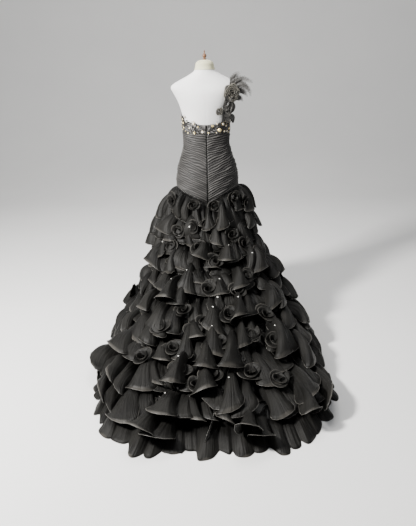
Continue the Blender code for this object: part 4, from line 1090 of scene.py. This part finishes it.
petalLook = {
    # Loose petals: x, height, length, width, degrees from upright, millimetres off the form
    "places": (
        (-0.100, 1.290, 0.030, 0.016, 50, 9), (-0.094, 1.272, 0.034, 0.015, 78, 9),
        (-0.100, 1.250, 0.036, 0.017, 120, 9), (-0.150, 1.300, 0.040, 0.024, -64, 12),
        (-0.147, 1.318, 0.044, 0.026, -20, 12), (-0.112, 1.312, 0.040, 0.024, 30, 11),
        (-0.135, 1.235, 0.050, 0.022, 168, 9), (-0.108, 1.232, 0.046, 0.020, 150, 8),
        (-0.128, 1.300, 0.042, 0.030, 178, 14), (-0.122, 1.312, 0.058, 0.026, 176, 8),
        (-0.140, 1.305, 0.060, 0.026, 186, 8), (-0.114, 1.285, 0.046, 0.022, 160, 8),
    ),
    "rows": 13, "columns": 9, "wall": 0.5 * mm,
}


def makePetals():
    # A pointed oval whose half width is the sine of its length's share, cupped across and curled at its tip
    for number, (x, height, length, width, degrees, seat) in enumerate(petalLook["places"]):
        centre, facing = rosettePlace(x, height)
        across, up, outward = framesOn(facing).T
        lean = math.radians(degrees)
        forward = up * math.cos(lean) + across * math.sin(lean)
        sideways = np.cross(forward, outward)
        run = np.linspace(0, 1, petalLook["rows"])[:, None]
        beside = np.linspace(-1, 1, petalLook["columns"])[None, :]
        half = width * np.sin(math.pi * (0.08 + 0.90 * run) ** 0.8) * 0.9 + 0.4 * mm
        cup, bow = 0.35 * width * beside**2, 0.45 * length * run * (1 - 0.7 * run)
        lift = seat * mm + cup + bow + 1.5 * mm * np.sin(6 * run + 4 * beside)
        points = centre + forward * (length * run)[..., None] + sideways * (half * beside)[..., None]
        points = points + outward * lift[..., None]
        # The share gives a painted highlight along the petal's edges
        clothPiece(
            f"petal{number + 1}", points, cloths["strapOrganza"], "organza", "gathered", ["strap"],
            wall=petalLook["wall"], share=np.abs(beside),
        )


frondLook = {
    "fronds": 48, "stations": 26, "fan": (-62, 78), "curl": (1.0, 0.7), "length": (0.048, 0.104),
    "quill": 0.8 * mm, "barb": 14.5 * mm, "barbWidth": 0.085,
}


def frondPaths():
    # Each frond starts on the strap's outer part. Its heading, fanned from over the shoulder to the side,
    # turns evenly outwards and down as it runs, which makes an arc. Steps of the golden ratio spread the
    # fan evenly, and steps of the root of two the other values.
    number = np.arange(frondLook["fronds"])[:, None]
    fan, second = (0.6180 * number + 0.2) % 1, (0.4142 * number + 0.6) % 1
    root = strapPoint(0.8 + 1.4 * second, 0.80 + 0.16 * fan, 6 * mm)
    run = np.linspace(0, 1, frondLook["stations"])[None, :]
    first, last = (math.radians(degrees) for degrees in frondLook["fan"])
    heading = first + (last - first) * fan
    short, long = frondLook["length"]
    length = short + (long - short) * second * (0.55 + 0.45 * fan)
    curl = frondLook["curl"][0] + frondLook["curl"][1] * second
    x = (np.cos(heading + curl * run) - np.cos(heading)) / curl + 0.05 * np.sin(6 * run + number) * run
    y = (0.75 * second - 0.15) * run * (1 - 0.3 * run)
    z = (np.sin(heading + curl * run) - np.sin(heading)) / curl - 0.10 * run**2
    return root + length[..., None] * np.stack(np.broadcast_arrays(x, y, z), -1)


def makeFronds():
    # A thin quill along each path, and a pair of curved barbs at every station, shorter towards both ends
    paths = frondPaths()
    along = unit(np.gradient(paths, axis=1))
    side = unit(np.cross(along, np.array((0.25, 1.0, 0.15))))
    normal = np.cross(side, along)
    taper = np.linspace(1, 0.25, frondLook["stations"])[None, :, None]
    angle = np.arange(4) * math.pi / 2
    radius = frondLook["quill"] * taper
    tube = paths[:, :, None] + radius[:, :, None] * (
        np.cos(angle)[:, None] * side[:, :, None] + np.sin(angle)[:, None] * normal[:, :, None]
    )
    count, stations = paths.shape[:2]
    index = np.arange(count * stations * 4).reshape(count, stations, 4)
    beside = np.roll(index, -1, axis=2)
    faces = np.stack([index[:, :-1], beside[:, :-1], beside[:, 1:], index[:, 1:]], -1).reshape(-1, 4)
    mesh = bpy.data.meshes.new("frondQuills")
    mesh.from_pydata(tube.reshape(-1, 3).tolist(), [], faces.tolist())
    quills = finished("frondQuills", mesh, cloths["strapOrganza"])
    run = np.linspace(0, 1, stations)[None, :]
    uneven = 1 + 0.2 * np.sin(9.1 * np.arange(count))[:, None]
    size = frondLook["barb"] * (0.35 + 0.65 * np.sin(math.pi * run**0.8)) * uneven
    wide = frondLook["barbWidth"]
    barb = (
        [(0, -wide, 0), (0, wide, 0), (0.45, 0.22 - wide, 0.06), (0.45, 0.22 + wide, 0.06), (1, 0.80, 0.02)],
        [(0, 2, 3, 1), (2, 4, 3)],
    )
    places, frames, sizes = [], [], []
    for sign in (1, -1):
        places.append(paths[:, 1:].reshape(-1, 3))
        frames.append(np.stack([sign * side, along, sign * normal], -1)[:, 1:].reshape(-1, 3, 3))
        sizes.append(size[:, 1:].ravel())
    places, frames, sizes = (np.concatenate(each) for each in (places, frames, sizes))
    barbs = repeated("frondBarbs", barb, places, frames, sizes, cloths["strapOrganza"])
    sewnIn(quills, "organza", "frond_spray")
    sewnIn(barbs, "organza")


makeStrap()
makeRosettes()
makePetals()
makeFronds()
print("shoulder made")


# The zip: tape under the two back panels, two rows of teeth, and the frame's own slider and pull

zipLook = {
    "halfWidth": 5.4 * mm, "out": 3.1 * mm, "rows": 80, "wall": 0.5 * mm, "toothPitch": 2.4 * mm,
    "tooth": (2.0 * mm, 1.3 * mm, 1.0 * mm), "toothAside": 0.55 * mm,
}


def makeZip():
    # A strip up the middle of the back; teeth stand on it in turn from the left and from the right
    height = np.linspace(neckline(0.0)[1] - mm, float(waistSeam(0.0)) + 4 * mm, zipLook["rows"])[:, None]
    turn = np.linspace(-1, 1, 5)[None, :] * zipLook["halfWidth"] / torsoPoint(math.pi / 2, height)[..., 0]
    points = offTorso(turn, height, zipLook["out"])
    clothPiece(
        "zipTape", points, cloths["zipTape"], "zip_tape", "stretched", ["formTorso"], replaced=["zip_tape"],
        wall=zipLook["wall"],
    )
    count = int((height[0, 0] - height[-1, 0]) / zipLook["toothPitch"]) * 2
    level = np.linspace(height[0, 0] - 2 * mm, height[-1, 0] + 2 * mm, count)
    aside = zipLook["toothAside"] * np.where(np.arange(count) % 2, 1, -1)
    side = aside / torsoPoint(math.pi / 2, level)[..., 0]
    corners = [(x, y, z) for z in (0, 1) for x, y in ((-0.5, -0.5), (0.5, -0.5), (0.5, 0.5), (-0.5, 0.5))]
    corners = [(x * (0.8 if z else 1), y * (0.7 if z else 1), z) for x, y, z in corners]
    faces = [(4, 5, 6, 7), (0, 3, 2, 1)] + [(i, (i + 1) % 4, (i + 1) % 4 + 4, i + 4) for i in range(4)]
    seats = offTorso(side, level, zipLook["out"])
    sizes = np.broadcast_to(np.array(zipLook["tooth"]), (count, 3))
    teeth = repeated("zipTeeth", (corners, faces), seats, framesOn(torsoNormal(side, level)), sizes, zipMetal)
    sewnIn(teeth, "zip_metal")
    paintNodes(zipMetal, "zip_slider", "zip_pull")


makeZip()
print("zip made")


# Lace and stones on the band

laceLook = {
    # Clusters: middle in degrees from the centre back, height, half width in degrees, half height, leaves
    "clusters": (
        (64, 1.178, 24, 0.034, 120), (80, 1.222, 12, 0.030, 50), (-62, 1.170, 28, 0.036, 150),
        (-38, 1.172, 11, 0.026, 50), (24, 1.164, 15, 0.022, 40), (-14, 1.164, 10, 0.020, 26),
    ),
    "length": 17 * mm, "out": 6.6 * mm,
}
stoneLook = {
    # Degrees from the centre back, height, radius in millimetres, stone
    "stones": (
        (31.5, 1.198, 7, "white"), (30.5, 1.143, 6, "gold"), (9.5, 1.148, 7, "white"),
        (49.5, 1.142, 5, "gold"), (59, 1.232, 5, "white"), (81, 1.199, 5, "white"),
        (66, 1.170, 5, "gold"), (-5, 1.142, 5, "gold"), (-15, 1.180, 7, "gold"),
        (-33.5, 1.155, 10, "gold"), (-43, 1.187, 7, "white"), (-70, 1.159, 7, "gold"),
        (-55, 1.176, 5, "white"), (-88, 1.196, 5, "white"), (-48, 1.146, 5, "white"),
        (20, 1.176, 4, "gold"), (72, 1.214, 4, "gold"), (54, 1.203, 4, "white"), (76, 1.158, 4, "white"),
        (59, 1.152, 3, "gold"), (87, 1.226, 4, "gold"), (68, 1.195, 6, "gold"), (43, 1.170, 4, "white"),
        (83, 1.176, 4, "gold"), (-27, 1.190, 4, "white"), (-62, 1.197, 4, "gold"),
        (-59, 1.147, 4, "white"), (-78, 1.182, 4, "white"), (-51, 1.201, 4, "gold"),
        (-25, 1.141, 3, "white"), (-67, 1.139, 3, "gold"), (-82, 1.214, 4, "gold"),
    ),
    "jets": 110, "out": 8.6 * mm, "bandRadius": 0.13,
}
gems = {"white": whiteStone, "gold": goldStone}
goldenAngle = 2.39996


def leafShape():
    # A pointed leaf with a raised midrib
    side = [(0, 0), (0.20, 0.13), (0.50, 0.20), (0.80, 0.12), (1, 0)]
    points = [(0.0, y, 0.10 if 0 < y < 1 else 0) for y, _ in side]
    points += [(x, y, 0) for y, x in side[1:4]] + [(-x, y, 0) for y, x in side[1:4]]
    faces = [(0, 5, 1), (1, 5, 6, 2), (2, 6, 7, 3), (3, 7, 4)]
    faces += [(0, 1, 8), (1, 2, 9, 8), (2, 3, 10, 9), (3, 4, 10)]
    return points, faces


def ringFaces(first, count):
    # Four-sided faces from one ring of points, numbered from the first, to the next ring
    near = [(first + i, first + (i + 1) % count) for i in range(count)]
    return [(a, b, b + count, a + count) for a, b in near]


def gemShape():
    # A round stone: a flat table, eight crown facets, a girdle and eight facets below
    rings = [(0.55, 0.62), (0.92, 0.30), (0.80, 0.0)]
    points = [
        (r * math.cos(a + 0.4 * k), r * math.sin(a + 0.4 * k), z)
        for k, (r, z) in enumerate(rings) for a in np.arange(8) * math.pi / 4
    ]
    faces = [tuple(range(8))]
    for ring in (0, 8):
        faces += [(a, d, c, b) for a, b, c, d in ringFaces(ring, 8)]
    return points, faces


def settingShape():
    # A low ring of metal round a stone
    profile = [(0.86, 0.0), (1.20, 0.0), (1.22, 0.20), (1.04, 0.42), (0.88, 0.36)]
    points = [(r * math.cos(a), r * math.sin(a), z) for r, z in profile for a in np.arange(12) * math.pi / 6]
    faces = []
    for ring in range(1, 4):
        faces += ringFaces(12 * ring, 12)
    return points, faces


def turnedFrames(frames, angle):
    # The same frames, each turned in its own plane by its angle
    across, up, outward = np.moveaxis(frames, -1, 0)
    cosine, sine = np.cos(angle)[:, None], np.sin(angle)[:, None]
    return np.stack([across * cosine + up * sine, up * cosine - across * sine, outward], -1)


def sewnOn(name, shape, turn, height, out, sizes, angle, finish):
    frames = turnedFrames(framesOn(torsoNormal(turn, height)), angle)
    sewnIn(repeated(name, shape, offTorso(turn, height, out), frames, sizes, finish), "jewelled_lace")


def makeLaceAndStones():
    # Leaves fill each cluster in a spiral of even steps, turned every way; jets lie between the stones
    turns, heights, angles = [], [], []
    for degrees, middle, halfDegrees, halfHeight, leaves in laceLook["clusters"]:
        number = np.arange(leaves)
        reach, spin = np.sqrt((number + 0.5) / leaves), goldenAngle * number
        turns.append(np.radians(degrees + halfDegrees * reach * np.cos(spin)))
        heights.append(middle + halfHeight * reach * np.sin(spin))
        angles.append(spin * 1.7 + number)
    turn, height, angle = (np.concatenate(each) for each in (turns, heights, angles))
    number = np.arange(len(turn))
    foot, top = neckline(turn)
    height = np.clip(height, foot - 8 * mm, top + 12 * mm)
    # above the band's top the leaves come down to the form
    lowered = 3.4 * mm * np.clip((height - top) / (6 * mm), 0, 1)
    out = laceLook["out"] - lowered + 0.6 * mm * np.sin(5.1 * number)
    sizes = laceLook["length"] * (0.8 + 0.35 * np.sin(3.3 * number))
    sewnOn("laceLeaves", leafShape(), turn, height, out, sizes, angle, cloths["blackLace"])
    for kind, finish in gems.items():
        chosen = np.array([(t, h, r) for t, h, r, k in stoneLook["stones"] if k == kind])
        turn, height, size = np.radians(chosen[:, 0]), chosen[:, 1], chosen[:, 2] * mm
        spin = np.arange(len(turn)) * 0.7
        out = np.full(len(turn), stoneLook["out"])
        sewnOn(kind + "Stones", gemShape(), turn, height, out, size, spin, finish)
        sewnOn(kind + "Settings", settingShape(), turn, height, out - 0.4 * mm, size, spin, goldSetting)
    every = np.array([stone[:3] for stone in stoneLook["stones"]])
    number = np.arange(stoneLook["jets"])
    near = every[number % len(every)]
    spin = goldenAngle * number + 0.5
    reach = (near[:, 2] + 5 + 3 * np.sin(1.9 * number)) * mm
    turn = np.radians(near[:, 0]) + reach * np.cos(spin) / stoneLook["bandRadius"]
    height = near[:, 1] + reach * np.sin(spin)
    out = np.full(len(number), laceLook["out"] + 0.4 * mm)
    sizes = (2.2 + 0.8 * np.sin(4.7 * number)) * mm
    sewnOn("jetStones", gemShape(), turn, height, out, sizes, spin, jetStone)


# Crystals on the ruffles: tier, degrees from the centre back, share of the way down it, radius in millimetres
crystalTable = (
    (1, 17, 0.62, 5), (3, 52, 0.55, 5), (4, -2, 0.60, 5), (6, -4, 0.66, 5), (7, 7, 0.60, 5), (2, -20, 0.5, 3),
    (5, 24, 0.55, 3), (8, -12, 0.5, 4), (9, 14, 0.55, 4), (10, -16, 0.5, 4), (6, 38, 0.55, 3),
    (9, -32, 0.5, 4), (2, 30, 0.6, 3), (7, -28, 0.6, 4), (3, -44, 0.6, 3), (10, 32, 0.5, 4),
)


def makeCrystals():
    # Each sits on its tier's cloth, on the crest nearest to its place
    places, normals, sizes = [], [], []
    for tier, degrees, share, radius in crystalTable:
        grid = tierGrids[tier]
        rows, columns = grid.shape[:2]
        row, column = int(share * (rows - 1)), int(round(degrees / 360 * columns)) % columns
        window = np.arange(column - 14, column + 15) % columns
        middle = onSkirt(ruffleTable[tier][0] + 0.5, math.radians(degrees))
        outward = skirtNormal(ruffleTable[tier][0] + 0.5, math.radians(degrees))
        column = window[np.argmax((grid[row, window] - middle) @ outward)]
        across = grid[row, (column + 1) % columns] - grid[row, column - 1]
        down = grid[row + 1, column] - grid[row - 1, column]
        normal = unit(np.cross(across, down))
        places.append(grid[row, column] + normal * 0.6 * mm)
        normals.append(normal)
        sizes.append(radius * mm)
    crystals = repeated("ruffleCrystals", gemShape(), places, framesOn(normals), sizes, whiteStone)
    sewnIn(crystals, "jewelled_lace")


makeLaceAndStones()
makeCrystals()
print("lace and stones made")


# Camera, light and floor

cameraLook = {
    "place": (0.010, 3.3, 1.5), "pitch": 19.45, "roll": -1.5, "focalPixels": 560, "pixelsHigh": 526,
    "sensor": 36,
}


def makeCamera():
    data = bpy.data.cameras.new("camera")
    data.sensor_width = cameraLook["sensor"]
    data.lens = cameraLook["sensor"] * cameraLook["focalPixels"] / cameraLook["pixelsHigh"]
    camera = bpy.data.objects.new("camera", data)
    bpy.context.scene.collection.objects.link(camera)
    pitch = math.radians(cameraLook["pitch"])
    heading = Vector((0, -math.cos(pitch), -math.sin(pitch)))
    roll = Matrix.Rotation(math.radians(cameraLook["roll"]), 3, "Z")
    turned = heading.to_track_quat("-Z", "Y").to_matrix() @ roll
    camera.matrix_world = Matrix.Translation(cameraLook["place"]) @ turned.to_4x4()
    bpy.context.scene.camera = camera


lightLook = {
    # name: place, aims at, size, watts, colour
    "key": ((2.25, 1.9, 2.7), (0, 0.1, 1.15), 0.5, 450, (1.0, 0.98, 0.95)),
    "fill": ((-2.6, 2.4, 2.0), (0, 0.3, 0.8), 2.2, 10, (0.93, 0.96, 1.0)),
    "top": ((0.0, 0.1, 3.6), (0, 0.4, 0.6), 1.4, 80, (1.0, 0.99, 0.97)),
    "front": ((0.5, -3.4, 2.4), (0, 0, 0.9), 2.4, 30, (1.0, 0.98, 0.96)),
}
studioLook = {"Color": (0.80, 0.81, 0.83, 1), "Strength": 0.36}


def makeLights():
    for name, (place, aim, size, watts, colour) in lightLook.items():
        data = bpy.data.lights.new(name, "AREA")
        data.size, data.energy, data.color = size, watts, colour
        light = bpy.data.objects.new(name, data)
        light.location = place
        light.rotation_euler = (Vector(aim) - Vector(place)).to_track_quat("-Z", "Y").to_euler()
        bpy.context.scene.collection.objects.link(light)
    world = bpy.data.worlds.new("studio")
    world.use_nodes = True
    for label, value in studioLook.items():
        world.node_tree.nodes["Background"].inputs[label].default_value = value
    bpy.context.scene.world = world


sweepLook = {"half": 9.0, "front": 9.0, "bend": -3.2, "radius": 3.0, "top": 7.0}


def makeFloor():
    # One pale sheet: flat under the dress, then a quarter circle up into a wall behind it
    angle = np.linspace(0, math.pi / 2, 24)
    radius, bend = sweepLook["radius"], sweepLook["bend"]
    rise = [(bend - radius * math.sin(a), radius * (1 - math.cos(a))) for a in angle]
    profile = np.array([(sweepLook["front"], 0.0)] + rise + [(bend - radius, sweepLook["top"])])
    across = np.broadcast_to((sweepLook["half"], -sweepLook["half"]), (len(profile), 2))
    points = np.stack([across, np.repeat(profile[:, :1], 2, 1), np.repeat(profile[:, 1:], 2, 1)], -1)
    made, tree, shader = newMaterial("paleFloor", Specular_IOR_Level=0.2, Roughness=0.8)
    coordinates = tree.nodes.new("ShaderNodeTexCoord")
    cloud = noiseNode(tree, coordinates.outputs["Object"], 1.5, 4.0)
    colour = mixColours(tree, cloud, (0.76, 0.76, 0.76), (0.82, 0.82, 0.81))
    tree.links.new(colour, shader.inputs["Base Color"])
    gridPiece("floor", points, made)


makeCamera()
makeLights()
makeFloor()
print("stage made")

for name, width, length, area in cuts:
    print(f"cut {name}: {width:.3f} x {length:.3f} m, {area:.3f} square metres")
